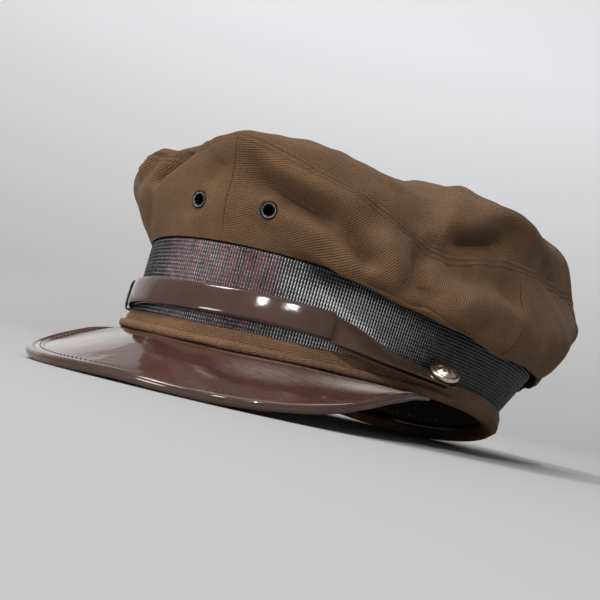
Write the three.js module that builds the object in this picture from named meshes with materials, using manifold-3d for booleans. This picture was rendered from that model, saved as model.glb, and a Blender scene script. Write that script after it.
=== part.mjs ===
// A soft peaked cap: a slack four-quarter crown with an oval top piece, a woven band, a patent
// peak with a rolled edge, and a two-piece chin strap on side buttons. It rests on the front
// edge of its peak and the back of its rim.
//
// The cap is drawn in its own wearing frame, in millimetres: the rim lies about the plane z = 0,
// the front is -Y, the wearer's left is +X. A place is given by three numbers: an angle round
// the head (0 at the front, 90 at the wearer's left), how far out from the rim's oval, and a
// height. One group then tips the whole cap back to the way it rests.
import * as THREE from "three";
import Module from "manifold-3d";
import { mergeVertices } from "three/addons/utils/BufferGeometryUtils.js";

const wasm = await Module();
wasm.setup();

// Driving dimensions
const RIM_HALF_WIDTH = 85; // the oval that every place is measured from
const RIM_HALF_LENGTH = 105;
const RIM_SADDLE = 3.6; // front and back of the rim lie this far below its mean, the sides above
const BAND_TOP = 38.5;
const CROWN_WALL = 1.6;
const BAND_WALL = 1.1;
const BAND_INSET = 3.2; // mesh face inside the oval, behind the strip
const GAP = 0.3;
const CROWN_CENTRE_HEIGHT = 102;
const SEAM_AT = 0.58; // share of the way from the band's top to the centre of the top piece
const SIDE_SEAM_LOW = 72; // degrees round the head, at the band
const SIDE_SEAM_HIGH = 83; // and at the top seam
const REST_PITCH = 6.153; // degrees that the rim tips up at the front when the cap rests
const PEAK_HALF_ANGLE = 69;
const PEAK_WALL = 2;
const BINDING_RADIUS = 2.2;
const STRAP_WIDTH = 11.5;
const STRAP_WALL = 1.2;
const BUTTON_RADIUS = 6.6;
const EYELET_RADIUS = 3.6;
const EYELET_BARREL = 2;

// The crown by sections round the head. For each section, out and height of: the start at the
// band, the low belly, the full side, the top seam, the shoulder of the top piece, and the
// height of the top piece half way in from there.
const CROWN = [
  { at: -150, band: 8, low: [13, 30], side: [24, 52], seam: [15, 67], shoulder: [0, 87], mid: 99 },
  { at: -120, band: 5, low: [11, 33], side: [21, 54], seam: [13, 70], shoulder: [0, 87], mid: 97 },
  { at: -90, band: 0, low: [6, 40], side: [16, 58], seam: [13, 73], shoulder: [0, 86], mid: 95 },
  { at: -58, band: -3, low: [3, 46], side: [14, 63], seam: [14, 75], shoulder: [4, 84], mid: 93 },
  { at: -38, band: -3, low: [2, 47], side: [8, 61], seam: [5, 74], shoulder: [-4, 80], mid: 93 },
  { at: -20, band: -2.6, low: [0.5, 48], side: [3, 62], seam: [2, 76], shoulder: [-8, 83], mid: 94 },
  { at: 0, band: -2.4, low: [0.5, 50], side: [3, 66], seam: [5.5, 82.5], shoulder: [-10, 89], mid: 96 },
  { at: 20, band: -2.2, low: [2, 46], side: [5, 60], seam: [4, 76], shoulder: [-10, 89], mid: 96 },
  { at: 40, band: -1.8, low: [10, 34], side: [13, 48], seam: [5, 67], shoulder: [-8, 83.5], mid: 94 },
  { at: 58, band: -1, low: [17, 28], side: [19, 42], seam: [5, 58], shoulder: [-6, 78], mid: 94 },
  { at: 75, band: 1, low: [18, 27], side: [22, 42], seam: [8, 66], shoulder: [5, 88.5], mid: 99 },
  { at: 95, band: 6, low: [16, 27], side: [24, 44], seam: [11, 68.5], shoulder: [5, 88], mid: 101.5 },
  { at: 118, band: 10, low: [11, 31], side: [22, 56], seam: [16.5, 69], shoulder: [1, 92.5], mid: 105.5 },
  { at: 145, band: 10, low: [13, 30], side: [25, 54], seam: [17, 68], shoulder: [1, 91], mid: 104 },
  { at: 180, band: 8, low: [13, 30], side: [25, 52], seam: [16, 66], shoulder: [0, 87], mid: 99 },
];
// Where those six rings lie on the way from the band's top (0) to the centre of the top (1).
const CROWN_KNOTS = [0, 0.15, 0.38, SEAM_AT, 0.76, 0.9, 1];
const MID_SHARE = 0.55; // the half-way ring, as a share of the shoulder ring

// Dents and folds in the crown: where, half length and half width in mm, turn in degrees from
// level, and depth.
const DENTS = [
  { at: 22, up: 0.44, long: 34, wide: 7, turn: -12, deep: 4 },
  { at: 50, up: 0.38, long: 16, wide: 5, turn: 70, deep: 3 },
  { at: 55, up: 0.3, long: 20, wide: 5, turn: 85, deep: 4 },
  { at: 78, up: 0.7, long: 16, wide: 7, turn: 5, deep: 4 },
  { at: -40, up: 0.5, long: 16, wide: 5, turn: 50, deep: 3 },
];
const DENT_MM_PER_DEGREE = 1.65;
const DENT_MM_PER_SHARE = 110;

// The peak's depth from the joint to the middle of its rolled edge, by share of its half angle.
const PEAK_DEPTH = [
  { share: 0, deep: 43.6 },
  { share: 0.3, deep: 45.3 },
  { share: 0.55, deep: 37.5 },
  { share: 0.75, deep: 18.8 },
  { share: 0.9, deep: 7 },
  { share: 1, deep: 2.4 },
];
const PEAK_FALL = 29; // degrees below level at the front
// Degrees less at each corner, growing with a power of the share. The right side hangs longer.
const PEAK_EASE = { left: { by: 36, power: 3 }, right: { by: 40, power: 6 } };
const PEAK_JOINT_DROP = 1; // top of the plate below the rim

// The lower strip's outside, from the edge of its inner lip, under, and up its face.
const STRIP_PROFILE = [
  { out: -9.4, up: 3.4 },
  { out: -9.4, up: 1.6 },
  { out: -8, up: -0.1 },
  { out: -5.4, up: -0.6 },
  { out: -3.6, up: -0.2 },
  { out: -1.6, up: 2 },
];
// Its top edge above the rim, which is lower on the wearer's right.
const STRIP_TOP = [
  { at: -110, up: 7 },
  { at: -58, up: 5.8 },
  { at: -25, up: 7.6 },
  { at: 0, up: 8 },
  { at: 120, up: 8 },
];

// The two halves of the chin strap: middle line and tilt of the face, which looks up as it grows.
const STRAP_LEFT = [
  { at: 73, out: 2.8, up: 11.2, tilt: 57 },
  { at: 68, out: 2.8, up: 10.9, tilt: 60 },
  { at: 60, out: 2.7, up: 10.9, tilt: 60 },
  { at: 52, out: 2.3, up: 12, tilt: 50 },
  { at: 44, out: 1.2, up: 14.2, tilt: 30 },
  { at: 37, out: -0.2, up: 15.6, tilt: 14 },
  { at: 28, out: -1.2, up: 16.1, tilt: 5 },
  { at: 0, out: -1.9, up: 15, tilt: 0 },
  { at: -30, out: -1.9, up: 14.6, tilt: 0 },
  { at: -36, out: -1.95, up: 14.2, tilt: 0 },
];
const STRAP_RIGHT = [
  { at: 37.5, out: 1.8, up: 16.6, tilt: 14 },
  { at: 18, out: 1.8, up: 16, tilt: 14 },
  { at: 0, out: 1.6, up: 14.6, tilt: 12 },
  { at: -30, out: 1.1, up: 14.2, tilt: 6 },
  { at: -36, out: 0.3, up: 13.9, tilt: 3 },
  { at: -43, out: -1.4, up: 13.8, tilt: 0 },
  { at: -48, out: -1.4, up: 13.9, tilt: 0 },
  { at: -56, out: -1.4, up: 14.6, tilt: 0 },
  { at: -68, out: -1, up: 16, tilt: 0 },
  { at: -76, out: -0.7, up: 17.6, tilt: 0 },
  { at: -84, out: -0.6, up: 18.6, tilt: 0 },
  { at: -97, out: -0.4, up: 18.7, tilt: 0 },
];
const KEEPER_AT = -46;
const KEEPER_HALF_LONG = 2.1; // degrees along the strap
const KEEPER = { inner: -3, outer: 1.1, low: 7.1, high: 20.6, wall: 0.6, front: 1.5 };
// The buttons face out from the head at their tilt, turned a little to the front.
const BUTTONS = [
  { name: "button_left", at: 68.3, out: 4.5, up: 12.7, tilt: 53, turn: -28 },
  { name: "button_right", at: -91.5, out: 0.7, up: 18.7, tilt: 0, turn: 0 },
];
const EYELETS = [
  { name: "eyelet_left", at: 13.2, up: 0.26 },
  { name: "eyelet_right", at: -10, up: 0.235 },
];

const finish = (color, roughness, metalness = 0) =>
  new THREE.MeshStandardMaterial({ color, roughness, metalness });
const TWILL = finish(0x5a4632, 0.95);
const MESH = finish(0x16171a, 0.4);
const RED_BACKING = finish(0x6b1f2c, 0.9);
const LEATHER = finish(0x2b1a14, 0.6);
const BLACK = finish(0x0c0c0d, 0.3);
const PATENT = finish(0x3f241d, 0.12);
const GOLD = finish(0xc9a86a, 0.3, 1);

const rad = THREE.MathUtils.degToRad;
const UP = new THREE.Vector3(0, 0, 1);
const range = (from, to, steps) =>
  Array.from({ length: steps + 1 }, (_, i) => from + ((to - from) * i) / steps);

// A smooth curve through values at knots, by cubic pieces whose slopes come from the neighbours.
function smooth(knots, values, x) {
  let i = 0;
  while (i < knots.length - 2 && x > knots[i + 1]) i += 1;
  const slope = (k) => {
    const a = Math.max(k - 1, 0);
    const b = Math.min(k + 1, knots.length - 1);
    return (values[b] - values[a]) / (knots[b] - knots[a]);
  };
  const h = knots[i + 1] - knots[i];
  const u = (x - knots[i]) / h;
  const v = 1 - u;
  return (
    values[i] * (1 + 2 * u) * v * v +
    slope(i) * h * u * v * v +
    values[i + 1] * (1 + 2 * v) * u * u -
    slope(i + 1) * h * v * u * u
  );
}

// The same for a table of sections that goes round the head and meets itself.
function roundHead(table, pick) {
  const wrapped = [-1, 0, 1].flatMap((turn) =>
    table.map((row) => ({ at: row.at + 360 * turn, value: pick(row) })),
  );
  const knots = wrapped.map((row) => row.at);
  const values = wrapped.map((row) => row.value);
  return (at) => smooth(knots, values, at);
}

// A strap's column as a function of the angle; its table runs from high angles to low.
function alongStrap(table, pick) {
  const rows = [...table].reverse();
  const knots = rows.map((row) => row.at);
  const values = rows.map(pick);
  return (at) => smooth(knots, values, at);
}

function outward(at) {
  const t = rad(at);
  return new THREE.Vector3(Math.sin(t) / RIM_HALF_WIDTH, -Math.cos(t) / RIM_HALF_LENGTH, 0).normalize();
}

function place(at, out, up) {
  const t = rad(at);
  const foot = new THREE.Vector3(RIM_HALF_WIDTH * Math.sin(t), -RIM_HALF_LENGTH * Math.cos(t), up);
  return foot.addScaledVector(outward(at), out);
}

const rimHeight = (at) => -RIM_SADDLE * Math.cos(2 * rad(at));
const bandTop = (at) => BAND_TOP + 0.4 * Math.cos(2 * rad(at));

// Crown surface
const crownColumns = {
  band: roundHead(CROWN, (row) => row.band),
  lowOut: roundHead(CROWN, (row) => row.low[0]),
  lowUp: roundHead(CROWN, (row) => row.low[1]),
  sideOut: roundHead(CROWN, (row) => row.side[0]),
  sideUp: roundHead(CROWN, (row) => row.side[1]),
  seamOut: roundHead(CROWN, (row) => row.seam[0]),
  seamUp: roundHead(CROWN, (row) => row.seam[1]),
  shoulderOut: roundHead(CROWN, (row) => row.shoulder[0]),
  shoulderUp: roundHead(CROWN, (row) => row.shoulder[1]),
  mid: roundHead(CROWN, (row) => row.mid),
};

function crownRings(at) {
  const c = crownColumns;
  const shoulder = place(at, c.shoulderOut(at), c.shoulderUp(at));
  return [
    place(at, c.band(at) + 0.3, bandTop(at) + GAP + 0.2),
    place(at, c.lowOut(at), c.lowUp(at)),
    place(at, c.sideOut(at), c.sideUp(at)),
    place(at, c.seamOut(at), c.seamUp(at)),
    shoulder,
    new THREE.Vector3(shoulder.x * MID_SHARE, shoulder.y * MID_SHARE, c.mid(at)),
    new THREE.Vector3(0, 0, CROWN_CENTRE_HEIGHT),
  ];
}

function plainCrown(at, share) {
  const rings = crownRings(at);
  const axis = (name) => smooth(CROWN_KNOTS, rings.map((p) => p[name]), share);
  return new THREE.Vector3(axis("x"), axis("y"), axis("z"));
}

function normalOf(surface, u, v, du, dv) {
  const along = surface(u + du, v).sub(surface(u - du, v));
  const across = surface(u, v + dv).sub(surface(u, v - dv));
  return along.cross(across).normalize();
}

function dentDepth(at, share) {
  let depth = 0;
  for (const dent of DENTS) {
    const x = (at - dent.at) * DENT_MM_PER_DEGREE;
    const y = (share - dent.up) * DENT_MM_PER_SHARE;
    const c = Math.cos(rad(dent.turn));
    const s = Math.sin(rad(dent.turn));
    const lengthwise = (x * c + y * s) / dent.long;
    const crosswise = (y * c - x * s) / dent.wide;
    depth += dent.deep * Math.exp(-(lengthwise ** 2) - crosswise ** 2);
  }
  return depth;
}

function crown(at, share) {
  const s = Math.min(Math.max(share, 0), 1);
  const point = plainCrown(at, s);
  const depth = dentDepth(at, s);
  if (depth < 0.01) return point;
  return point.addScaledVector(normalOf(plainCrown, at, s, 0.5, 0.004), -depth);
}

// Meshes from grids of points
function geometryFrom(triangles) {
  const kept = triangles.filter(([a, b, c]) => {
    const area = b.clone().sub(a).cross(c.clone().sub(a)).length();
    return area > 1e-6;
  });
  const geometry = new THREE.BufferGeometry();
  geometry.setFromPoints(kept.flat());
  geometry.computeVertexNormals();
  return geometry;
}

const quad = (a, b, c, d) => [[a, b, c], [a, c, d]];

// A wall of even thickness: surface(u, v) is its outside, with u to the right of v seen from
// outside, and edges get flat sides. With ring set, the last column meets the first.
function wall(surface, us, vs, thickness, { ring = false, steps = [0.5, 0.01], shape } = {}) {
  const outer = us.map((u) => vs.map((v) => surface(u, v)));
  const inner = us.map((u, i) =>
    vs.map((v, j) => {
      const normal = normalOf(surface, u, v, steps[0], steps[1]);
      return outer[i][j].clone().addScaledVector(normal, -thickness);
    }),
  );
  if (shape) [outer, inner].forEach((grid) => grid.forEach((column) => column.forEach(shape)));
  if (ring) {
    outer.push(outer[0]);
    inner.push(inner[0]);
  }
  const triangles = [];
  const last = vs.length - 1;
  for (let i = 0; i + 1 < outer.length; i += 1) {
    for (let j = 0; j < last; j += 1) {
      triangles.push(...quad(outer[i][j], outer[i + 1][j], outer[i + 1][j + 1], outer[i][j + 1]));
      triangles.push(...quad(inner[i][j], inner[i][j + 1], inner[i + 1][j + 1], inner[i + 1][j]));
    }
    triangles.push(...quad(outer[i][0], inner[i][0], inner[i + 1][0], outer[i + 1][0]));
    triangles.push(...quad(outer[i][last], outer[i + 1][last], inner[i + 1][last], inner[i][last]));
  }
  if (!ring) {
    const end = outer.length - 1;
    for (let j = 0; j < last; j += 1) {
      triangles.push(...quad(outer[0][j], outer[0][j + 1], inner[0][j + 1], inner[0][j]));
      triangles.push(...quad(outer[end][j], inner[end][j], inner[end][j + 1], outer[end][j + 1]));
    }
  }
  return geometryFrom(triangles);
}

// A solid from closed sections laid along a path, with both ends filled from their middles.
function loft(sections) {
  const triangles = [];
  const count = sections[0].length;
  for (let i = 0; i + 1 < sections.length; i += 1) {
    for (let j = 0; j < count; j += 1) {
      const k = (j + 1) % count;
      triangles.push(...quad(sections[i][j], sections[i + 1][j], sections[i + 1][k], sections[i][k]));
    }
  }
  const middle = (section) =>
    section.reduce((sum, p) => sum.add(p), new THREE.Vector3()).divideScalar(count);
  const first = sections[0];
  const final = sections[sections.length - 1];
  for (let j = 0; j < count; j += 1) {
    const k = (j + 1) % count;
    triangles.push([middle(first), first[j], first[k]]);
    triangles.push([middle(final), final[k], final[j]]);
  }
  return geometryFrom(triangles);
}

// A round tube whose middle line is centre(at), in sections that stand across the rim's oval.
// It can be flat, less thick than it is high.
function rolledTube(centre, angles, radius, { sides = 8, flat = 1 } = {}) {
  return loft(
    angles.map((at) => {
      const middle = centre(at);
      const out = outward(at);
      const r = radius(at);
      return range(0, 360, sides)
        .slice(0, sides)
        .map((turn) =>
          middle
            .clone()
            .addScaledVector(out, flat * r * Math.cos(rad(turn)))
            .add(new THREE.Vector3(0, 0, r * Math.sin(rad(turn)))),
        );
    }),
  );
}

function asSolid(geometry) {
  const bare = new THREE.BufferGeometry();
  bare.setAttribute("position", geometry.getAttribute("position"));
  if (geometry.index) bare.setIndex(geometry.index);
  const merged = mergeVertices(bare, 1e-4);
  return new wasm.Manifold(
    new wasm.Mesh({
      numProp: 3,
      vertProperties: merged.attributes.position.array,
      triVerts: new Uint32Array(merged.index.array),
    }),
  );
}

function fromSolid(solid) {
  const mesh = solid.getMesh();
  const geometry = new THREE.BufferGeometry();
  geometry.setAttribute("position", new THREE.BufferAttribute(mesh.vertProperties, 3));
  geometry.setIndex(new THREE.BufferAttribute(mesh.triVerts, 1));
  geometry.computeVertexNormals();
  return geometry;
}

const cap = new THREE.Group();
const worn = new THREE.Group();
cap.add(worn);

function add(name, geometry, material) {
  const mesh = new THREE.Mesh(geometry, material);
  mesh.name = name;
  worn.add(mesh);
  return mesh;
}

// Stands a small turned piece on a surface point, its own +Y along the given direction.
function seat(mesh, point, direction) {
  mesh.position.copy(point);
  mesh.quaternion.setFromUnitVectors(new THREE.Vector3(0, 1, 0), direction);
  mesh.updateMatrix();
}

// The floor, seen from the wearing frame: where it lies and which way is up.
const floorUp = new THREE.Vector3(0, -Math.sin(rad(REST_PITCH)), Math.cos(rad(REST_PITCH)));

const sideSeam = (share) => {
  const climb = Math.min(share, SEAM_AT) / SEAM_AT;
  return SIDE_SEAM_LOW + (SIDE_SEAM_HIGH - SIDE_SEAM_LOW) * climb;
};

// The crown's five pieces. A quarter runs between two seams, each half a gap away.
const FRONT_STEPS = 16;
const BACK_STEPS = 17;
const HALF_GAP_DEGREES = 0.1;
const HALF_GAP_SHARE = 0.0016;
const quarters = [
  { name: "crown_front_left", from: () => 0, to: sideSeam, steps: FRONT_STEPS },
  { name: "crown_back_left", from: sideSeam, to: () => 180, steps: BACK_STEPS },
  { name: "crown_back_right", from: () => -180, to: (s) => -sideSeam(s), steps: BACK_STEPS },
  { name: "crown_front_right", from: (s) => -sideSeam(s), to: () => 0, steps: FRONT_STEPS },
];
const quarterShares = [0, 0.05, 0.11, 0.17, 0.24, 0.32, 0.4, 0.49, SEAM_AT - HALF_GAP_SHARE];
const topShares = [SEAM_AT + HALF_GAP_SHARE, 0.64, 0.7, 0.76, 0.82, 0.88, 0.94, 1];

function eyeletFrame(eyelet) {
  return {
    point: crown(eyelet.at, eyelet.up),
    normal: normalOf(crown, eyelet.at, eyelet.up, 0.5, 0.01),
  };
}

// The eyelet's hole through the cloth, a little wider than its barrel.
function eyeletHole(eyelet) {
  const { point, normal } = eyeletFrame(eyelet);
  const drill = new THREE.CylinderGeometry(EYELET_BARREL + GAP, EYELET_BARREL + GAP, 12, 14);
  const turn = new THREE.Quaternion().setFromUnitVectors(new THREE.Vector3(0, 1, 0), normal);
  drill.applyQuaternion(turn);
  drill.translate(point.x, point.y, point.z);
  return asSolid(drill);
}

for (const quarter of quarters) {
  const surface = (u, share) => {
    const from = quarter.from(share) + HALF_GAP_DEGREES;
    const to = quarter.to(share) - HALF_GAP_DEGREES;
    return crown(from + (to - from) * u, share);
  };
  const us = range(0, 1, quarter.steps);
  let geometry = wall(surface, us, quarterShares, CROWN_WALL, { steps: [0.01, 0.01] });
  const eyelet = EYELETS.find((e) => quarter.name === `crown_front_${e.name.slice(7)}`);
  if (eyelet) geometry = fromSolid(asSolid(geometry).subtract(eyeletHole(eyelet)));
  add(quarter.name, geometry, TWILL);
}

const topAngles = quarters.flatMap((quarter) =>
  range(quarter.from(SEAM_AT), quarter.to(SEAM_AT), quarter.steps).slice(0, -1),
);
add("crown_top", wall(crown, topAngles, topShares, CROWN_WALL, { ring: true }), TWILL);

// The band and what is sewn to it
const ringAngles = range(-180, 180, 60).slice(0, -1);
const MESH_HIDDEN = 0.22; // share of the mesh that the strip covers

function meshFace(at, share) {
  const foot = rimHeight(at) + 2.5;
  const flare = Math.max(0, share - MESH_HIDDEN) / (1 - MESH_HIDDEN);
  const out = -BAND_INSET + (crownColumns.band(at) + BAND_INSET) * flare;
  return place(at, out, foot + (bandTop(at) - foot) * share);
}
const meshShares = [0, MESH_HIDDEN, 0.5, 0.75, 1];
add("mesh_band", wall(meshFace, ringAngles, meshShares, BAND_WALL, { ring: true }), MESH);

const stayFace = (at, up) => place(at, -BAND_INSET - BAND_WALL - GAP, up);
add("front_stay", wall(stayFace, range(-20.5, 23.5, 10), [9, 36], 0.8), RED_BACKING);

// The strip's bottom is pressed flat where the back of the rim stands on the floor.
const FLOOR_LEVEL = place(180, -5.4, rimHeight(180) - 0.6).dot(floorUp) + 0.5;
function pressed(point) {
  const depth = FLOOR_LEVEL - point.dot(floorUp);
  if (depth > 0) point.addScaledVector(floorUp, depth);
}
const stripTop = roundHead(STRIP_TOP, (row) => row.up);
function stripFace(at, step) {
  const i = Math.min(Math.max(Math.floor(step), 0), STRIP_PROFILE.length - 1);
  const a = STRIP_PROFILE[i];
  const b = STRIP_PROFILE[i + 1] ?? { out: a.out, up: stripTop(at) };
  const f = step - i;
  return place(at, a.out + (b.out - a.out) * f, rimHeight(at) + a.up + (b.up - a.up) * f);
}
const stripSteps = [...STRIP_PROFILE.keys(), STRIP_PROFILE.length];
const stripShape = { ring: true, steps: [0.5, 0.5], shape: pressed };
add("lower_strip", wall(stripFace, ringAngles, stripSteps, 1.4, stripShape), TWILL);

const pipingMiddle = (at) => place(at, -0.1, rimHeight(at) + 1.2);
const pipingRadius = (at) => 0.5 + 1.2 * Math.min(1, (78 - Math.abs(at)) / 8);
const piping = rolledTube(pipingMiddle, range(-78, 78, 40), pipingRadius, { flat: 0.68 });
add("rolled_piping", piping, TWILL);

const sweatFace = (at, up) => place(at, -5.8, rimHeight(at) * (1 - up / 40) + up);
add("sweatband", wall(sweatFace, ringAngles, [2, 18, 34], 1, { ring: true }), LEATHER);
const tapeFace = (at, up) => place(at, -7.1, rimHeight(at) + up);
add("sweatband_tape", wall(tapeFace, ringAngles, [3.9, 6.9], 0.8, { ring: true }), BLACK);

// The peak, from its edge in to the joint, and the roll round its edge
function peakDepth(at) {
  const share = Math.min(Math.abs(at) / PEAK_HALF_ANGLE, 1);
  return smooth(PEAK_DEPTH.map((row) => row.share), PEAK_DEPTH.map((row) => row.deep), share);
}
function onPeak(at, distance) {
  const share = Math.min(Math.abs(at) / PEAK_HALF_ANGLE, 1);
  const ease = at < 0 ? PEAK_EASE.right : PEAK_EASE.left;
  const fall = rad(PEAK_FALL - ease.by * share ** ease.power);
  const top = rimHeight(at) - PEAK_JOINT_DROP;
  return place(at, distance * Math.cos(fall), top - distance * Math.sin(fall));
}
const PLATE_START = -1.5;
const PLATE_HALF_ANGLE = 61;
const plateEnd = (at) => peakDepth(at) - BINDING_RADIUS - GAP;
const plate = (at, share) => onPeak(at, plateEnd(at) + (PLATE_START - plateEnd(at)) * share);
const plateAngles = range(-PLATE_HALF_ANGLE, PLATE_HALF_ANGLE, 36);
add("peak", wall(plate, plateAngles, [0, 0.25, 0.5, 0.75, 1], PEAK_WALL), PATENT);

const BINDING_HALF_ANGLE = 66;
const bindingMiddle = (at) => {
  const middle = onPeak(at, peakDepth(at));
  middle.z -= PEAK_WALL / 2;
  return middle;
};
const bindingRadius = (at) =>
  BINDING_RADIUS * Math.min(1, 0.4 + (BINDING_HALF_ANGLE - Math.abs(at)) / 20);
const bindingAngles = range(-BINDING_HALF_ANGLE, BINDING_HALF_ANGLE, 48);
add("peak_binding", rolledTube(bindingMiddle, bindingAngles, bindingRadius), PATENT);

// Chin strap
function strap(name, table) {
  const out = alongStrap(table, (row) => row.out);
  const up = alongStrap(table, (row) => row.up);
  const tilt = alongStrap(table, (row) => row.tilt);
  const angles = range(table[table.length - 1].at, table[0].at, 44);
  const face = (at, across) => {
    const reach = across * (STRAP_WIDTH / 2);
    const lean = rad(tilt(at));
    return place(at, out(at) - reach * Math.sin(lean), up(at) + reach * Math.cos(lean));
  };
  const outside = (at, across) => {
    const lean = rad(tilt(at));
    const half = STRAP_WALL / 2;
    return face(at, across)
      .addScaledVector(outward(at), half * Math.cos(lean))
      .add(new THREE.Vector3(0, 0, half * Math.sin(lean)));
  };
  return add(name, wall(outside, angles, [-1, 1], STRAP_WALL), PATENT);
}
strap("strap_left", STRAP_LEFT);
strap("strap_right", STRAP_RIGHT);

// The keeper, at the end of the left half, is a loop round the right half with a thick front.
const keeperSection = (wall, front) => [
  [KEEPER.inner + wall, KEEPER.low + wall],
  [KEEPER.outer - front, KEEPER.low + wall],
  [KEEPER.outer - front, KEEPER.high - wall],
  [KEEPER.inner + wall, KEEPER.high - wall],
];
const keeperBlock = (section, halfLong) =>
  loft(
    [KEEPER_AT - halfLong, KEEPER_AT + halfLong].map((at) =>
      section.map(([out, up]) => place(at, out, up)),
    ),
  );
const keeperSolid = asSolid(keeperBlock(keeperSection(0, 0), KEEPER_HALF_LONG)).subtract(
  asSolid(keeperBlock(keeperSection(KEEPER.wall, KEEPER.front), 2 * KEEPER_HALF_LONG)),
);
add("strap_keeper", fromSolid(keeperSolid), BLACK);

// Buttons: a dome with a turned rim, its flat back on the strap
const buttonProfile = [
  [0, 0],
  [0.86, 0],
  [1, 0.08],
  [1, 0.2],
  [0.88, 0.36],
  [0.62, 0.52],
  [0.32, 0.61],
  [0, 0.64],
].map(([r, h]) => new THREE.Vector2(r * BUTTON_RADIUS, h * BUTTON_RADIUS));
for (const button of BUTTONS) {
  const lean = rad(button.tilt);
  const direction = outward(button.at).applyAxisAngle(UP, rad(button.turn));
  direction.multiplyScalar(Math.cos(lean)).addScaledVector(UP, Math.sin(lean));
  const mesh = add(button.name, new THREE.LatheGeometry(buttonProfile, 18), GOLD);
  seat(mesh, place(button.at, button.out, button.up), direction);
}

// Eyelets: a flange outside, a barrel through the cloth and a turned-over ring inside
const eyeletProfile = [
  [EYELET_BARREL - 0.6, 0.9],
  [EYELET_BARREL - 0.6, -CROWN_WALL - 1.1],
  [EYELET_BARREL + 0.8, -CROWN_WALL - 1.1],
  [EYELET_BARREL + 0.8, -CROWN_WALL - 0.5],
  [EYELET_BARREL, -CROWN_WALL - 0.5],
  [EYELET_BARREL, 0.4],
  [EYELET_RADIUS, 0.4],
  [EYELET_RADIUS - 0.3, 0.9],
  [EYELET_BARREL - 0.6, 0.9],
].map(([r, h]) => new THREE.Vector2(r, h));
for (const eyelet of EYELETS) {
  const { point, normal } = eyeletFrame(eyelet);
  const mesh = add(eyelet.name, new THREE.LatheGeometry(eyeletProfile, 14), BLACK);
  seat(mesh, point, normal);
}

// Tip the cap back to its rest, then put the middle of its footprint at the origin.
worn.rotation.x = -rad(REST_PITCH);
cap.updateMatrixWorld(true);
const box = new THREE.Box3().setFromObject(cap, true);
const centre = box.getCenter(new THREE.Vector3());
worn.position.set(-centre.x, -centre.y, -box.min.z);

export default cap;
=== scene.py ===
# %% [markdown]
# # A soft peaked cap, piece by piece
# The imported CAD model says where each piece of the cap lies and how big it is. This lesson dresses
# it: every piece is a surface worked out with numpy from a few named sizes, and every finish is
# procedural. First the model is loaded.

import bmesh
import bpy
import numpy as np
from mathutils import Matrix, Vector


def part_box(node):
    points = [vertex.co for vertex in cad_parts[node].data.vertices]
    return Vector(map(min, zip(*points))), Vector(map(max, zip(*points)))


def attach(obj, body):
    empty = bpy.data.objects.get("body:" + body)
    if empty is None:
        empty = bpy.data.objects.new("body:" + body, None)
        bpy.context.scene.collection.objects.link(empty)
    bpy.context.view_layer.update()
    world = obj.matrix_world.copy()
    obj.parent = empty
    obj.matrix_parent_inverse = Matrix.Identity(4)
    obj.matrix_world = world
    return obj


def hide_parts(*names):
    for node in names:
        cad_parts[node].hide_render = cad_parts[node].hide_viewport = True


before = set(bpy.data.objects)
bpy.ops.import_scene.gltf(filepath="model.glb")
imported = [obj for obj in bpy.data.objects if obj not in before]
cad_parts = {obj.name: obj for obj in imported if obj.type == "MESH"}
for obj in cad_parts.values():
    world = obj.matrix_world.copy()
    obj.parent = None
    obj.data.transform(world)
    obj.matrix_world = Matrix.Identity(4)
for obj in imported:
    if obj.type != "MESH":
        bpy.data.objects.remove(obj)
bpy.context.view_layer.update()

# %% [markdown]
# ## The sizes that the cap is drawn from
# A cap is cut round a head, so every place on it is given as a cap maker would: an angle round the
# head (0 at the front, 90 at the wearer's left), a distance out from the rim's oval and a height
# above the rim, in millimetres, as the cap is worn. The sizes are the CAD model's own.

# %% Driving sizes
def table(columns, *rows):
    """Rows of numbers with named columns."""
    return np.array(list(rows), dtype=[(name, float) for name in columns.split()])


RIM_HALF_WIDTH, RIM_HALF_LENGTH, RIM_SADDLE = 85.0, 105.0, 3.6
BAND_TOP, BAND_INSET, BAND_SADDLE = 38.5, 3.2, 0.4
SEAM_AT = 0.58  # the top seam's share of the way from the band to the middle of the top
SIDE_SEAM_LOW, SIDE_SEAM_HIGH = 72.0, 83.0
CROWN_CENTRE_HEIGHT, CROWN_WALL = 102.0, 1.6
SWEATBAND_INSET, SWEATBAND_LEVEL_AT = 5.8, 40
REST_PITCH = 6.153
BINDING_RADIUS, PEAK_HALF_ANGLE = 2.2, 69.0
CROWN = table(
    "at band low_out low_up side_out side_up seam_out seam_up shoulder_out shoulder_up mid",
    (-150, 8, 13, 30, 24, 52, 15, 67, 0, 87, 99),
    (-120, 5, 11, 33, 21, 54, 13, 70, 0, 87, 97),
    (-90, 0, 6, 40, 16, 58, 13, 73, 0, 86, 95),
    (-58, -3, 3, 46, 14, 63, 14, 75, 4, 84, 93),
    (-38, -3, 2, 47, 8, 61, 5, 74, -4, 80, 93),
    (-20, -2.6, 0.5, 48, 3, 62, 2, 76, -8, 83, 94),
    (0, -2.4, 0.5, 50, 3, 66, 5.5, 82.5, -10, 89, 96),
    (20, -2.2, 2, 46, 5, 60, 4, 76, -10, 89, 96),
    (40, -1.8, 10, 34, 13, 48, 5, 67, -8, 83.5, 94),
    (58, -1, 17, 28, 19, 42, 5, 58, -6, 78, 94),
    (75, 1, 18, 27, 22, 42, 8, 66, 5, 88.5, 99),
    (95, 6, 16, 27, 24, 44, 11, 68.5, 5, 88, 101.5),
    (118, 10, 11, 31, 22, 56, 16.5, 69, 1, 92.5, 105.5),
    (145, 10, 13, 30, 25, 54, 17, 68, 1, 91, 104),
    (180, 8, 13, 30, 25, 52, 16, 66, 0, 87, 99),
)
CROWN_KNOTS = (0, 0.15, 0.38, SEAM_AT, 0.76, 0.9, 1)
MID_SHARE = 0.55
print(len(CROWN), "sections round the crown")

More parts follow.
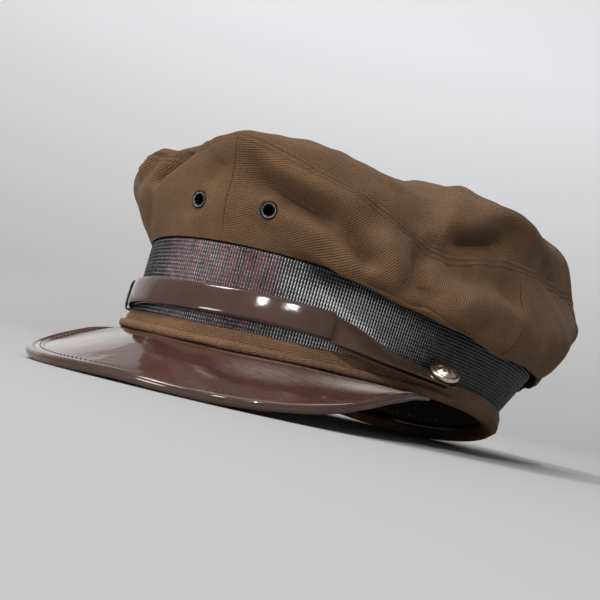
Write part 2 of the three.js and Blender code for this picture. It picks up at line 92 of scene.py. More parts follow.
# %% [markdown]
# ## Helpers that turn sizes into points
# One finds a point from angle, distance and height, one draws a smooth curve through a short
# table, and one tips the point back to the way the cap rests. All take whole arrays.

# %% Places round the head
def unit(vectors):
    """Each vector divided by its length."""
    return vectors / np.maximum(np.linalg.norm(vectors, axis=-1, keepdims=True), 1e-9)


def walk(points, axis=0):
    """Distance walked along lines of points: the running sum of the steps, from 0."""
    step = np.linalg.norm(np.diff(points, axis=axis), axis=-1)
    return np.concatenate([np.zeros_like(step.take([0], axis)), np.cumsum(step, axis)], axis)


def outward(at):
    """Unit direction away from the head: along (sin / half width, -cos / half length)."""
    t = np.radians(at)
    return unit(np.stack([np.sin(t) / RIM_HALF_WIDTH, -np.cos(t) / RIM_HALF_LENGTH, 0 * t], -1))


def place(at, out, up):
    """The oval's point at that angle, moved out along the oval's normal and lifted to the height."""
    at, out, up = np.broadcast_arrays(*(np.asarray(v, float) for v in (at, out, up)))
    t = np.radians(at)
    foot = np.stack([RIM_HALF_WIDTH * np.sin(t), -RIM_HALF_LENGTH * np.cos(t), up], -1)
    return foot + out[..., None] * outward(at)


def rim_height(at):
    """The rim dips at front and back and rises at the sides: minus the saddle times cos(2 angle)."""
    return -RIM_SADDLE * np.cos(2 * np.radians(at))


def band_top(at):
    """The band's upper edge is nearly level: its height plus its own small saddle."""
    return BAND_TOP + BAND_SADDLE * np.cos(2 * np.radians(at))


# %% Smooth curves through tables
def knot_curve(knots, values, x):
    """Cubic pieces through values at knots. The slope at a knot is the rise between its two
    neighbours over their distance. values holds a number for each knot, or an array of points."""
    knots, values, x = (np.asarray(v, float) for v in (knots, values, x))
    last = len(knots) - 1
    before, after = np.clip(np.arange(last + 1) + [[-1], [1]], 0, last)
    run = (knots[after] - knots[before]).reshape(-1, *[1] * (values.ndim - 1))
    slopes = (values[after] - values[before]) / run
    i = np.clip(np.searchsorted(knots, x) - 1, 0, last - 1)
    step = knots[i + 1] - knots[i]
    u = (x - knots[i]) / step
    pairs = ((values, i), (values, i + 1), (slopes, i), (slopes, i + 1))
    if values.ndim > 1:
        step, u = step[..., None], u[..., None]
        a, b, slope_a, slope_b = (np.take_along_axis(v, k[None, ..., None], 0)[0] for v, k in pairs)
    else:
        a, b, slope_a, slope_b = (v[k] for v, k in pairs)
    v = 1 - u
    return (
        a * (1 + 2 * u) * v * v + slope_a * step * u * v * v
        + b * (1 + 2 * v) * u * u - slope_b * step * v * u * u
    )


def round_head(rows, column):
    """A column of a table that goes round the head, repeated one turn either way so that it meets."""
    knots = np.concatenate([rows["at"] + turn for turn in (-360, 0, 360)])
    return lambda at: knot_curve(knots, np.tile(rows[column], 3), at)


# %% The way the cap rests
PITCH = np.radians(REST_PITCH)
FLOOR_UP = np.array([0, -np.sin(PITCH), np.cos(PITCH)])


def tipped(points):
    """Turns points about the left-right axis: y = y cos + z sin, z = z cos - y sin of the pitch."""
    x, y, z = np.moveaxis(np.asarray(points, float), -1, 0)
    c, s = np.cos(PITCH), np.sin(PITCH)
    return np.stack([x, y * c + z * s, z * c - y * s], -1)


def sweatband_face(at, up):
    """Inside the rim and set in from the oval. The rim's rise fades out up to the level height."""
    return place(at, -SWEATBAND_INSET, rim_height(at) * (1 - up / SWEATBAND_LEVEL_AT) + up)


# The sweatband is where it is in the CAD model: the mean gap between the two boxes is the shift.
drawn = tipped(sweatband_face(np.arange(-180, 180, 6.0)[:, None], np.array([2.0, 18, 34]))).reshape(-1, 3)
low, high = (np.array(corner) * 1000 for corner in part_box("sweatband"))
gaps = np.array([low - drawn.min(0), high - drawn.max(0)])
REST_SHIFT = gaps.mean(0)
print("shift to rest, mm:", REST_SHIFT.round(3), "error, mm:", np.ptp(gaps, 0).max().round(4))


def rested(points):
    """From millimetres in the wearing position to metres in the frame where the cap rests."""
    return (tipped(points) + REST_SHIFT) / 1000


# %% [markdown]
# ## From grids of points to meshes
# A surface is a grid: columns run round the cap and rows run up it. Neighbours make a square face,
# counter-clockwise seen from outside. The flat cloth's own coordinates, in millimetres, go into
# the UV map, so that a weave can follow the cut.

# %% Mesh builders
def grid_faces(columns, rows, ring=False):
    """Corner numbers of the squares between neighbours. In a ring the last column meets the first."""
    i = np.arange(columns if ring else columns - 1)[:, None]
    a, b = i * rows + np.arange(rows - 1), ((i + 1) % columns) * rows + np.arange(rows - 1)
    return np.stack([a, b, b + 1, a + 1], -1).reshape(-1, 4)


def grid_uv(u, v):
    """Cloth coordinates at every face's corners. For a ring they hold one column more than it."""
    uv = np.stack(np.broadcast_arrays(u, v), -1)
    return uv.reshape(-1, 2)[grid_faces(*uv.shape[:2])]


def add_object(name, data):
    """A new object at the origin, in the scene."""
    made = bpy.data.objects.new(name, data)
    bpy.context.scene.collection.objects.link(made)
    return made


def new_piece(name, points, faces, corner_uv=None, wall=0.0, **marks):
    """Puts wearing-position points in mm and their faces into a new object. A wall in mm gives it
    thickness, inwards. marks are numbers for each point that a material can read by name."""
    mesh = bpy.data.meshes.new(name)
    places = rested(points).reshape(-1, 3)
    mesh.vertices.add(len(places))
    mesh.vertices.foreach_set("co", places.ravel())
    mesh.loops.add(faces.size)
    mesh.loops.foreach_set("vertex_index", faces.ravel().astype(np.int32))
    mesh.polygons.add(len(faces))
    mesh.polygons.foreach_set("loop_start", np.arange(len(faces), dtype=np.int32) * faces.shape[1])
    mesh.update(calc_edges=True)
    mesh.polygons.foreach_set("use_smooth", np.ones(len(faces), bool))
    if corner_uv is not None:
        mesh.uv_layers.new(name="cloth_mm").uv.foreach_set("vector", corner_uv.astype(np.float32).ravel())
    for key, values in marks.items():
        values = np.broadcast_to(values, points.shape[:-1]).astype(np.float32)
        mesh.attributes.new(key, "FLOAT", "POINT").data.foreach_set("value", values.ravel())
    mesh.validate()
    piece = add_object(name, mesh)
    if wall:
        solid = piece.modifiers.new("wall", "SOLIDIFY")
        solid.thickness, solid.offset, solid.use_even_offset = wall / 1000, -1, False
    return piece


def sheet(name, points, wall, ring=False, corner_uv=None, **marks):
    """A grid of points as a one-sided surface with a wall."""
    return new_piece(name, points, grid_faces(*points.shape[:2], ring), corner_uv, wall, **marks)


def closed(name, points, corner_uv=None, **marks):
    """A ring of points whose poles or seams lie together, and are joined here."""
    piece = new_piece(name, points, grid_faces(*points.shape[:2], True), corner_uv, **marks)
    work = bmesh.new()
    work.from_mesh(piece.data)
    bmesh.ops.remove_doubles(work, verts=work.verts, dist=1e-6)
    work.to_mesh(piece.data)
    work.free()
    return piece


def dress(piece, material, slot_name, *nodes):
    """Gives a piece its finish and its body, and hides the CAD nodes it stands for. slot_name is not used.
    """
    piece.data.materials.append(material)
    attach(piece, "root")
    if nodes:
        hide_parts(*nodes)
    print(f"{piece.name}: {len(piece.data.polygons)} faces")


# %% Spacing and unevenness
def close_at_ends(length, step):
    """Shares of a length: steps of 0.35 within 3 of both ends, and the longer step between."""
    fine = np.arange(0, 3, 0.35)
    middle = np.linspace(3, length - 3, int((length - 6) / step) + 1)
    return np.concatenate([fine, middle, length - fine[::-1]]) / length


def swell(points, wavelength, seed):
    """Gentle unevenness of about one: a dozen sine waves in random directions through space."""
    rng = np.random.default_rng(seed)
    heading = unit(rng.normal(size=(12, 3))) / (wavelength * rng.uniform(0.7, 1.7, (12, 1)))
    return np.sin(points @ heading.T * 2 * np.pi + rng.uniform(0, 2 * np.pi, 12)).sum(-1) / 2.5


def bell(x, width):
    """A soft hump that is one in the middle: e to the minus (x / width) squared."""
    return np.exp(-((x / width) ** 2))


def ramp(x, start, end):
    """0 before start, 1 after end, and 3t^2 - 2t^3 between them."""
    t = np.clip((x - start) / (end - start), 0, 1)
    return t * t * (3 - 2 * t)


def squared(turn, power):
    """A circle's cosine and sine with their size raised to a power: a rounded rectangle."""
    return (np.sign(v) * np.abs(v) ** p for v, p in zip((np.cos(turn), np.sin(turn)), power))


# %% [markdown]
# ## Node helpers for the finishes
# A finish is a small tree of shader nodes. Numbers that are the same all over a piece are set
# straight on the Principled shader's own sockets.

# %% Node helpers
def node(tree, kind, inputs, **settings):
    """Adds a shader node, sets its options, and fills its inputs with numbers or with outputs."""
    made = tree.nodes.new("ShaderNode" + kind)
    for key, value in settings.items():
        setattr(made, key, value)
    for key, value in inputs.items():
        if isinstance(value, bpy.types.NodeSocket):
            tree.links.new(value, made.inputs[key])
        else:
            made.inputs[key].default_value = value
    return made


def new_finish(name):
    """An empty material, its node tree, and the object's own coordinates in it."""
    material = bpy.data.materials.new(name)
    material.use_nodes = True
    tree = material.node_tree
    tree.nodes.clear()
    return material, tree, node(tree, "TexCoord", {}).outputs["Object"]


def close_finish(material, colour, roughness, sockets=None):
    """Adds the Principled shader with its colour, roughness and other sockets, and the output."""
    sockets = {"Base Color": colour, "Roughness": roughness, **(sockets or {})}
    shader = node(material.node_tree, "BsdfPrincipled", sockets)
    node(material.node_tree, "OutputMaterial", {"Surface": shader.outputs["BSDF"]})
    return material


def stops(tree, factor, *places):
    """A colour ramp: (position, colour) pairs, read at the factor."""
    made = node(tree, "ValToRGB", {"Fac": factor})
    elements = made.color_ramp.elements
    while len(elements) < len(places):
        elements.new(0.5)
    for stop, (position, colour) in zip(elements, places):
        stop.position, stop.color = position, (*colour, 1)
    return made.outputs["Color"]


def tint(shade, strength):
    """A shade made darker or lighter."""
    return tuple(np.array(shade) * strength)


def times_plus(tree, a, b, c=0.0):
    """One Math node: a times b, plus c."""
    return node(tree, "Math", {0: a, 1: b, 2: c}, operation="MULTIPLY_ADD").outputs["Value"]


def speckle(tree, coordinates, scale, detail, roughness):
    """Noise from 0 to 1 at so many lumps a unit."""
    inputs = {"Vector": coordinates, "Scale": scale, "Detail": detail, "Roughness": roughness}
    return node(tree, "TexNoise", inputs).outputs["Fac"]


def mark(tree, name):
    """A number that the piece's points carry."""
    return node(tree, "Attribute", {}, attribute_name=name).outputs["Fac"]


def mixed(tree, factor, a, b):
    """One colour mixed into another."""
    return node(tree, "Mix", {0: factor, 6: a, 7: (*b, 1)}, data_type="RGBA").outputs[2]


def bumped(tree, height, strength, distance):
    """A bump from a height, as the shader's Normal socket."""
    made = node(tree, "Bump", {"Height": height, "Strength": strength, "Distance": distance})
    return {"Normal": made.outputs["Normal"]}


# %% [markdown]
# ## Twill
# Worsted twill shows fine slanting ridges, the wales, about a millimetre apart. They follow the
# flat cut of each panel, so the weave is drawn in the cloth's own millimetres: one wave across the
# wales, and a finer one for the yarns that cross them. Fuzz, flecks and a slow mottling keep the
# brown from looking printed.

# %% Twill finish
WALE_PITCH, YARN_PITCH = 0.96, 0.62
WAVE_UNIT = np.pi / 10  # a Wave texture of scale 1 repeats after this length


def threads(tree, cloth, pitch, direction, *bend):
    """Parallel threads so many mm apart; bend gives their distortion, its detail and its scale."""
    inputs = dict(zip(("Distortion", "Detail", "Detail Scale"), bend))
    inputs.update({"Vector": cloth, "Scale": WAVE_UNIT / pitch})
    return node(tree, "TexWave", inputs, bands_direction=direction).outputs["Fac"]


def twill_finish(name, shade, turn, lines=0.24):
    """Twill with its wales turned by so many degrees from the cloth's first coordinate. lines says
    how strongly the wales show against the fuzz."""
    material, tree, space = new_finish(name)
    flat = node(tree, "TexCoord", {}).outputs["UV"]
    cloth = node(tree, "Mapping", {"Vector": flat, "Rotation": (0, 0, -np.radians(turn))}).outputs["Vector"]
    wales = threads(tree, cloth, WALE_PITCH, "Y", 1.5, 2, 1.4)
    yarns = threads(tree, cloth, YARN_PITCH, "X", 2.2, 1, 2.5)
    fuzz = speckle(tree, space, 2600, 2, 0.8)
    weave = times_plus(tree, yarns, 0.3, wales)
    tone = times_plus(tree, weave, lines, -0.1 - 0.65 * lines)
    tone = times_plus(tree, speckle(tree, cloth, 2.0, 4, 0.8), 0.7, tone)
    tone = times_plus(tree, fuzz, 0.8, tone)
    tone = times_plus(tree, speckle(tree, space, 46, 3, 0.55), 0.22, tone)
    places = zip((0.42, 0.76, 1.0), (tint(shade, k) for k in (0.25, 0.95, 2.2)))
    relief = bumped(tree, times_plus(tree, fuzz, 0.5, weave), 2.4 * lines, 0.00035)
    sheen = {"Sheen Weight": 0.07, "Sheen Roughness": 0.4, "Sheen Tint": (0.8, 0.62, 0.45, 1)}
    sockets = {"Specular IOR Level": 0.25, **sheen, **relief}
    return close_finish(material, stops(tree, tone, *places), 0.85, sockets)


OLIVE_BROWN = (0.12, 0.0645, 0.0315)
crown_finish = twill_finish("olive brown twill", OLIVE_BROWN, 60)
top_finish = twill_finish("olive brown twill of the top", OLIVE_BROWN, 100)
# The strip and piping are the crown's twill, painted about one and a half times lighter as painted light on
# them.
strip_finish = twill_finish("twill on the bias, painted lighter", (0.17, 0.093, 0.05), 20, 0.16)

# %% [markdown]
# ## The crown's shape
# The crown is slack cloth: it bulges, droops over the band and dents where nothing holds it up.
# Its form is read from a table of sections, as in the CAD model. On top come the folds that a
# solid would be too coarse for: valleys, puckers at the stitching, and the unevenness of worn
# cloth.

# %% Crown surface
crown_column = {name: round_head(CROWN, name) for name in CROWN.dtype.names[1:]}


def crown_rings(at):
    """The seven rings of the crown at each angle, from the band to the middle of the top."""
    c = {name: curve(at) for name, curve in crown_column.items()}
    rings = [place(at, c["band"] + 0.3, band_top(at) + 0.5)]
    rings += [place(at, c[part + "_out"], c[part + "_up"]) for part in ("low", "side", "seam", "shoulder")]
    for share, height in ((MID_SHARE, c["mid"]), (0, CROWN_CENTRE_HEIGHT)):
        rings.append(rings[4] * share)
        rings[-1][..., 2] = height
    return np.stack(rings)


def plain_crown(at, share):
    """A smooth curve through the rings: the share of the way from the band to the top's middle."""
    at, share = np.broadcast_arrays(np.asarray(at, float), np.asarray(share, float))
    return knot_curve(CROWN_KNOTS, crown_rings(at), share)


def crown_frame(at, share):
    """The crown's outward normal, and how many millimetres one unit of share covers there."""
    along = plain_crown(at + 0.5, share) - plain_crown(at - 0.5, share)
    across = plain_crown(at, share + 0.004) - plain_crown(at, share - 0.004)
    return unit(np.cross(along, across) + [0, 0, 1e-6]), np.linalg.norm(across, axis=-1) / 0.008


# %% Folds, puckers and seams of the worn cloth
DEGREE_MM, SHARE_MM = 1.65, 110.0
# Dents and folds: angle, share, how long and wide, turned how far, how deep (a ridge is below zero).
FOLDS = (
    (22, 0.405, 34, 7, -12, 4), (50, 0.38, 16, 5, 70, 3), (55, 0.30, 20, 5, 85, 4),
    (78, 0.70, 16, 7, 5, 4), (-40, 0.50, 16, 5, 50, 3),
    (104, 0.34, 22, 6, 82, -1.2), (120, 0.40, 24, 5, 96, 1.5), (140, 0.30, 20, 6, 84, 1.2),
    (162, 0.42, 24, 6, 100, 1.4), (-170, 0.36, 24, 6, 84, 1.3), (-145, 0.42, 22, 5, 96, 1.5),
    (-118, 0.34, 22, 6, 80, 1.3), (-95, 0.42, 20, 5, 98, 1.4), (-72, 0.40, 18, 4, 82, 1.2),
    (96, 0.80, 22, 5, -10, 1.2), (130, 0.74, 20, 5, 60, 1.0), (-100, 0.76, 20, 5, -50, 1.2),
    (-150, 0.75, 22, 5, 40, 1.1),
)
# Creases: how deep, how wide, and the places that each runs through, by angle and share.
CREASES = (
    (6.2, 4.8, (0, 0.395), (9, 0.385), (19, 0.39), (28, 0.42), (35, 0.455)),
    (5.6, 4.0, (30, 0.44), (35.5, 0.415), (38.5, 0.355), (42, 0.285)),
    (-3.0, 6.0, (4, 0.475), (18, 0.475), (31, 0.52), (40, 0.57)),
    (-1.5, 7.0, (8, 0.29), (22, 0.285), (33, 0.31)),
    (-3.0, 5.0, (40, 0.52), (43, 0.43), (46, 0.35), (49, 0.27)),
    (4.4, 4.0, (58, 0.60), (52, 0.52), (51.5, 0.43), (52.5, 0.345), (55, 0.26)),
    (-1.8, 7.0, (61, 0.40), (64, 0.34), (67, 0.27)),
    (4.0, 8.0, (55, 0.51), (66, 0.515), (76, 0.505), (85, 0.49)),
    (3.0, 5.0, (31, 0.20), (42, 0.18), (52, 0.17), (62, 0.17), (76, 0.18)),
    (-2.8, 6.0, (57, 0.60), (59, 0.67), (62, 0.765), (71, 0.86), (82, 0.90)),
    (7.8, 4.4, (58, 0.67), (66, 0.645), (71, 0.635), (82, 0.625)),
    (-2.0, 7.0, (70, 0.76), (80, 0.76), (92, 0.74)),
    (2.0, 6.0, (44, 0.80), (49, 0.72), (55, 0.64)),
    (6.0, 3.6, (-15, 0.66), (-22, 0.59), (-28, 0.51), (-33, 0.43), (-35, 0.34)),
    (-3.4, 5.5, (-30, 0.66), (-38, 0.58), (-44, 0.50), (-46, 0.40)),
    (1.2, 3.0, (-37, 0.38), (-35, 0.28), (-36, 0.16), (-37, 0.06)),
    (-0.9, 4.0, (-42, 0.34), (-40, 0.24), (-41, 0.12)),
    (1.3, 4.5, (-4, 0.47), (-6, 0.40), (-9, 0.30)),
    (1.2, 4.0, (77, 0.42), (74, 0.32), (72, 0.22)),
    (1.0, 3.5, (88, 0.50), (87, 0.36), (86, 0.24)),
)
STITCH_OFF = 2.2  # topstitching runs this far from the top seam, on both sides
EYELET_PLACES = ((13.2, 0.26), (-10.0, 0.235))  # the cloth lies flat round them
EYELET_MIDDLES = plain_crown(*np.transpose(EYELET_PLACES))


def fold_depth(at, share):
    """Each fold is a long bell: deep times e to the minus (along / long)^2 and (across / wide)^2."""
    depth = np.zeros(np.broadcast(at, share).shape)
    for fold_at, fold_share, long, wide, turn, deep in FOLDS:
        x, y = ((at - fold_at + 180) % 360 - 180) * DEGREE_MM, (share - fold_share) * SHARE_MM
        c, s = np.cos(np.radians(turn)), np.sin(np.radians(turn))
        depth += deep * bell(x * c + y * s, long) * bell(y * c - x * s, wide)
    return depth


def along_line(points, path, wide):
    """e to the minus (distance to the line / wide) squared, fading over the line's first and last
    third."""
    flat, value = points.reshape(-1, 3), np.zeros(points[..., 0].size)
    middle = path.mean(0)
    reach = np.linalg.norm(path - middle, axis=1).max() + 3 * wide
    near = np.linalg.norm(flat - middle, axis=1) < reach
    start, step = path[:-1], np.diff(path, axis=0)
    offset = flat[near][:, None, :] - start
    u = np.clip((offset * step).sum(-1) / (step * step).sum(-1), 0, 1)
    gap = np.linalg.norm(offset - u[..., None] * step, axis=-1)
    k = gap.argmin(1)
    rows = np.arange(len(k))
    s = (k + u[rows, k]) / len(start)
    value[near] = bell(gap[rows, k], wide) * ramp(s, 0, 0.3) * ramp(1 - s, 0, 0.3)
    return value.reshape(points.shape[:-1])


def crease_depth(base):
    """The sum of all creases, each along its line on the plain crown."""
    depth = np.zeros(base.shape[:-1])
    for deep, wide, *line in CREASES:
        at, share = np.array(line, float).T
        knots = np.arange(len(at))
        fine = np.linspace(0, knots[-1], 6 * knots[-1] + 1)
        path = plain_crown(knot_curve(knots, at, fine), knot_curve(knots, share, fine))
        depth += deep * along_line(base, path, wide)
    return depth


def seam_welt(distance):
    """A sewn seam seen across: a narrow groove, and beside it the swell of the cloth turned in."""
    return 0.3 * bell(distance - 1.2, 1.3) - 0.35 * bell(distance, 0.4)


def crown_cloth(at, share, seam_distance, side_distance):
    """The crown with its folds: the plain form moved along its normal by dents, folds, swell,
    seams, and puckers that die away within a few mm of the top seam."""
    normal, base = crown_frame(at, share)[0], plain_crown(at, share)
    puckers = np.sin(np.radians(at) * 62 + 1.5 * swell(base, 30, 3)) * bell(seam_distance - 3, 5.5)
    slack = 0.25 + 0.75 * ramp(np.abs(at), 35, 70)
    lift = (
        0.6 * slack * swell(base, 34, 1) + 0.3 * swell(base, 13, 2) + 0.3 * slack * puckers
        - fold_depth(at, share) - crease_depth(base) - 0.4 * bell(seam_distance - STITCH_OFF, 0.5)
        + seam_welt(seam_distance) + 0.6 * seam_welt(side_distance)
    ) * ramp(share, 0.02, 0.18)
    for middle in EYELET_MIDDLES:
        lift = lift * ramp(np.linalg.norm(base - middle, axis=-1), 3.6, 7.5)
    return base + lift[..., None] * normal


def side_seam(share):
    """The side seams lean back as they rise, from the angle at the band to that at the top."""
    climb = np.minimum(share, SEAM_AT) / SEAM_AT
    return SIDE_SEAM_LOW + (SIDE_SEAM_HIGH - SIDE_SEAM_LOW) * climb


# %% [markdown]
# ### Four quarters
# A real quarter is cut as a piece of a wide ring, so that it can wrap round the head and lean out.
# Its flat coordinates are a ring's: across the panel the cloth turns by about ninety degrees, and
# going up it moves away from the ring's centre. The wales turn with it.

# %% Cut the quarters
PANEL_TURN = np.radians(95)
PANEL_FOOT_RADIUS = 66.0
HOLE_RADIUS = 2.4
CLOTH = 0.9  # thickness of the quarters' cloth, thin enough for its tight turn at the bottom


def quarter(name, left, right, length, cut):
    """One quarter between two seams: columns follow the seams, rows rise to the top seam. cut turns
    the weave, in degrees, as the panel was laid on the cloth."""
    across = close_at_ends(length, 0.95)[:, None]
    rise = close_at_ends(80, 0.9)[None, :] * SEAM_AT
    start, end = left(rise) + 0.04, right(rise) - 0.04
    at = start + (end - start) * across
    share = np.broadcast_to(rise, at.shape)
    plain = plain_crown(at, share)
    walked = walk(plain)
    seam_distance = (SEAM_AT - share) * crown_frame(at, share)[1]
    points = crown_cloth(at, share, seam_distance, np.minimum(walked, walked[-1] - walked))
    padded = np.pad(walk(points, 1), ((12, 12), (0, 0)), "edge")
    radius = PANEL_FOOT_RADIUS + np.mean([padded[k : k + len(at)] for k in range(25)], 0)
    turn = (across - 0.5) * PANEL_TURN + np.radians(cut)
    faces, corners = grid_faces(*at.shape), grid_uv(radius * np.sin(turn), radius * np.cos(turn))
    for middle in EYELET_MIDDLES:
        solid = np.linalg.norm(plain.reshape(-1, 3)[faces].mean(1) - middle, axis=1) > HOLE_RADIUS
        faces, corners = faces[solid], corners[solid]
    return new_piece(f"{name}_quarter", points, faces, corners, CLOTH)


# Name, left and right seam, length in mm, and how far the weave is turned.
QUARTERS = (
    ("front_left", lambda s: 0 * s, side_seam, 136, 0),
    ("back_left", side_seam, lambda s: 180 + 0 * s, 168, 0),
    ("back_right", lambda s: -180 + 0 * s, lambda s: -side_seam(s), 168, 0),
    ("front_right", lambda s: -side_seam(s), lambda s: 0 * s, 136, -45),
)
for name, *cut_lines in QUARTERS:
    dress(quarter(name, *cut_lines), crown_finish, "crown_twill", f"crown_{name}")

# %% [markdown]
# ### The top piece
# The top piece is one large oval. Rings would crowd its points at the middle, so a square grid is
# bent into a disc: x becomes x sqrt(1 - y^2 / 2) and y becomes y sqrt(1 - x^2 / 2). The cells stay
# about the same size and there is no pole to close.

# %% Top piece
TOP_CELLS = 212
TOP_HALF_WIDTH, TOP_HALF_LENGTH = 112, 128  # of the flat cut, for the weave
TOP_LAP = 0.004  # share by which the top's edge laps over the quarters


def top_piece():
    """The oval top: a square grid bent into a disc, whose radius runs from the seam to the middle."""
    side = np.linspace(-1, 1, TOP_CELLS + 1)
    side = np.sign(side) * np.abs(side) ** 0.9
    x, y = side[:, None], side[None, :]
    x, y = x * np.sqrt(1 - y * y / 2), y * np.sqrt(1 - x * x / 2)
    at = np.degrees(np.arctan2(x, -y))
    share = 1 - np.minimum(np.hypot(x, y), 1) * (1 - SEAM_AT + TOP_LAP)
    normal, share_mm = crown_frame(at, share)
    far = np.full(at.shape, 50.0)
    points = crown_cloth(at, share, np.abs(share - SEAM_AT) * share_mm, far) + 0.15 * normal
    corners = grid_uv(x * TOP_HALF_WIDTH, y * TOP_HALF_LENGTH)
    return sheet("top_piece", points, CROWN_WALL, corner_uv=corners)


dress(top_piece(), top_finish, "crown_twill", "crown_top")

# %% [markdown]
# ## The mesh band
# The band is woven from glossy black strands: upright warps, and wefts that run round the head. It
# sparkles where a weft stands out, and the red backing shows where the weave is open. A bump map
# can't let light through, so the strands are real ribbons, two faces across.

# %% Glossy black strand finish
def strand_finish():
    """Black extruded strand: glossy. A point attribute paints grey highlights where the strand stands
    out, weaker where painted shade falls under the crown; a random change of tone comes and goes."""
    material, tree, space = new_finish("glossy black strand")
    grains = times_plus(tree, speckle(tree, space, 900, 2, 0.6), 0.9)
    rub = times_plus(tree, speckle(tree, space, 130, 4, 0.7), 1.1, grains)
    rub = times_plus(tree, mark(tree, "raised"), rub)
    # The lightest grey is the colour of the painted highlights.
    greys = ((0.15, (0.004, 0.004, 0.005)), (0.4, (0.08, 0.08, 0.083)), (0.8, (0.75, 0.75, 0.76)))
    colour = mixed(tree, mark(tree, "red"), stops(tree, rub, *greys), (0.15, 0.028, 0.042))
    return close_finish(material, colour, 0.24, {"Specular IOR Level": 0.6})


strand = strand_finish()

# %% Weave the band
MESH_FOOT, MESH_HIDDEN, MESH_START = 2.5, 0.22, 0.1
WARPS, WEFT_PITCH, WEAVE_DEPTH = 462, 1.52, 0.38
WEFTS = int((BAND_TOP - MESH_FOOT) * (1 - MESH_START) / WEFT_PITCH)
fine_angles = np.linspace(-180, 180, 7201)
rim_walk = walk(place(fine_angles, -BAND_INSET, 0))
angles = np.interp(np.linspace(0, rim_walk[-1], WARPS, endpoint=False), rim_walk, fine_angles)
print(WARPS, "warps evenly spaced round", rim_walk[-1].round(1), "mm, and", WEFTS, "wefts")


def mesh_face(at, row, depth):
    """The band's face: upright behind the strip, then flaring to meet the crown at its top."""
    share = MESH_START + (1 - MESH_START) * row / WEFTS
    foot = rim_height(at) + MESH_FOOT
    flare = np.maximum(0, share - MESH_HIDDEN) / (1 - MESH_HIDDEN)
    out = -BAND_INSET - 0.55 + (crown_column["band"](at) + BAND_INSET) * flare + depth
    return place(at, out, foot + (band_top(at) - foot) * share)


def red_share(at):
    """How red the low parts of the weave are: groups of columns, at the front alone."""
    t = np.radians(at)
    groups = 0.25 + 0.75 * ramp(np.sin(t * 83) + 0.6 * np.sin(t * 31), -0.3, 0.5)
    return groups * ramp(at, -23, -19) * ramp(-at, -21, -17)


def ribbons(name, grid, raised, red, ring=False):
    """Ribbons of one size in one mesh: the grid's first side counts them. The third argument, 0 to 1,
    paints grey highlights on the strands and, where it is lowered, shade; red tells where it is red."""
    lanes, columns, rows = grid.shape[:3]
    first = (np.arange(lanes) * columns * rows)[:, None, None]
    faces = (grid_faces(columns, rows, ring) + first).reshape(-1, 4)
    return new_piece(name, grid, faces, raised=raised, red=red)


def warps():
    """Upright ribbons 0.5 wide, which hold the wefts down."""
    rows = np.linspace(0, WEFTS, 2 * WEFTS + 1)[None, None, :]
    side = np.array([1.0, 0, -1])[None, :, None]
    at = angles[:, None, None] - side * 0.25 / (rim_walk[-1] / 360)
    depth = 0.02 + 0.1 * np.cos(2 * np.pi * rows) - 0.2 * side**2
    # Every warp has the same faint painted highlight.
    return ribbons("mesh_warps", mesh_face(at, rows, depth), 0.15, red_share(at))


def wefts():
    """Strands round the head that swell out between two warps, in a slanting bead, and dip under
    each warp: depth is minus the cosine of one turn for each warp."""
    warp = np.arange(4 * WARPS) / 4
    at = np.interp(warp, np.arange(WARPS + 1), np.append(angles, 180))[None, :, None]
    row = np.arange(WEFTS)[:, None, None] + 0.5
    side = np.array([-1.0, 0, 1])[None, None, :]
    turn = 2 * np.pi * warp[None, :, None]
    bulge = 0.5 - 0.5 * np.cos(turn)
    wander = 0.03 * np.sin(at * 0.9 + row * 2.1) - 0.22 * np.sin(turn)
    depth = WEAVE_DEPTH * (2 * bulge - 1) - 0.3 * side**2 + 0.1
    grid = mesh_face(at, row + side * (0.28 + 0.2 * bulge) + wander, depth)
    # Painted highlights on the beads' tops, brightest at 42 degrees, and painted shade under the
    # crown's left bulge, where its shadow falls on the band.
    shine = 0.42 + 0.3 * bell(at + 2, 20) + 1.9 * bell(at - 42, 17)
    painted_shade_under_crown = 1 - 0.85 * ramp(row, WEFTS - 8, WEFTS - 1) * ramp(at, 20, 34)
    raised = shine * painted_shade_under_crown * bulge**1.6 * (1 - 0.4 * side**2)
    return ribbons("mesh_wefts", grid, raised, red_share(at) * ramp(-bulge, -0.8, -0.3), True)


dress(warps(), strand, "band_mesh")
dress(wefts(), strand, "band_mesh", "mesh_band")

# %% [markdown]
# ## What lies behind and inside the band
# Behind the front of the mesh a dark red stay shows through the weave. Inside the rim runs the
# leather sweatband with its stitches, and the black tape that covers where it is sewn on.

# %% Finishes inside the cap
def leather_finish(name, shade, roughness, grain=1.0):
    """Leather: two sizes of creased cells for the grain, and a soft change of tone."""
    material, tree, space = new_finish(name)
    cells = node(tree, "TexVoronoi", {"Vector": space, "Scale": 900}, feature="DISTANCE_TO_EDGE")
    height = times_plus(tree, speckle(tree, space, 260, 5, 0.65), 1.4, cells.outputs["Distance"])
    tone = speckle(tree, space, 35, 4, 0.6)
    colour = stops(tree, tone, (0.3, tint(shade, 0.6)), (0.75, tint(shade, 1.5)))
    return close_finish(material, colour, roughness, bumped(tree, height, 0.35 * grain, 0.0002))


def cloth_finish(name, shade):
    """A plain matt cloth: a fine thread pattern in space and a slow change of tone."""
    material, tree, space = new_finish(name)
    yarn = speckle(tree, space, 1500, 3, 0.7)
    both = times_plus(tree, yarn, 0.6, times_plus(tree, speckle(tree, space, 60, 3, 0.6), 0.6))
    colour = stops(tree, both, (0.35, tint(shade, 0.5)), (0.85, tint(shade, 1.5)))
    return close_finish(material, colour, 0.9, bumped(tree, yarn, 0.4, 0.0002))


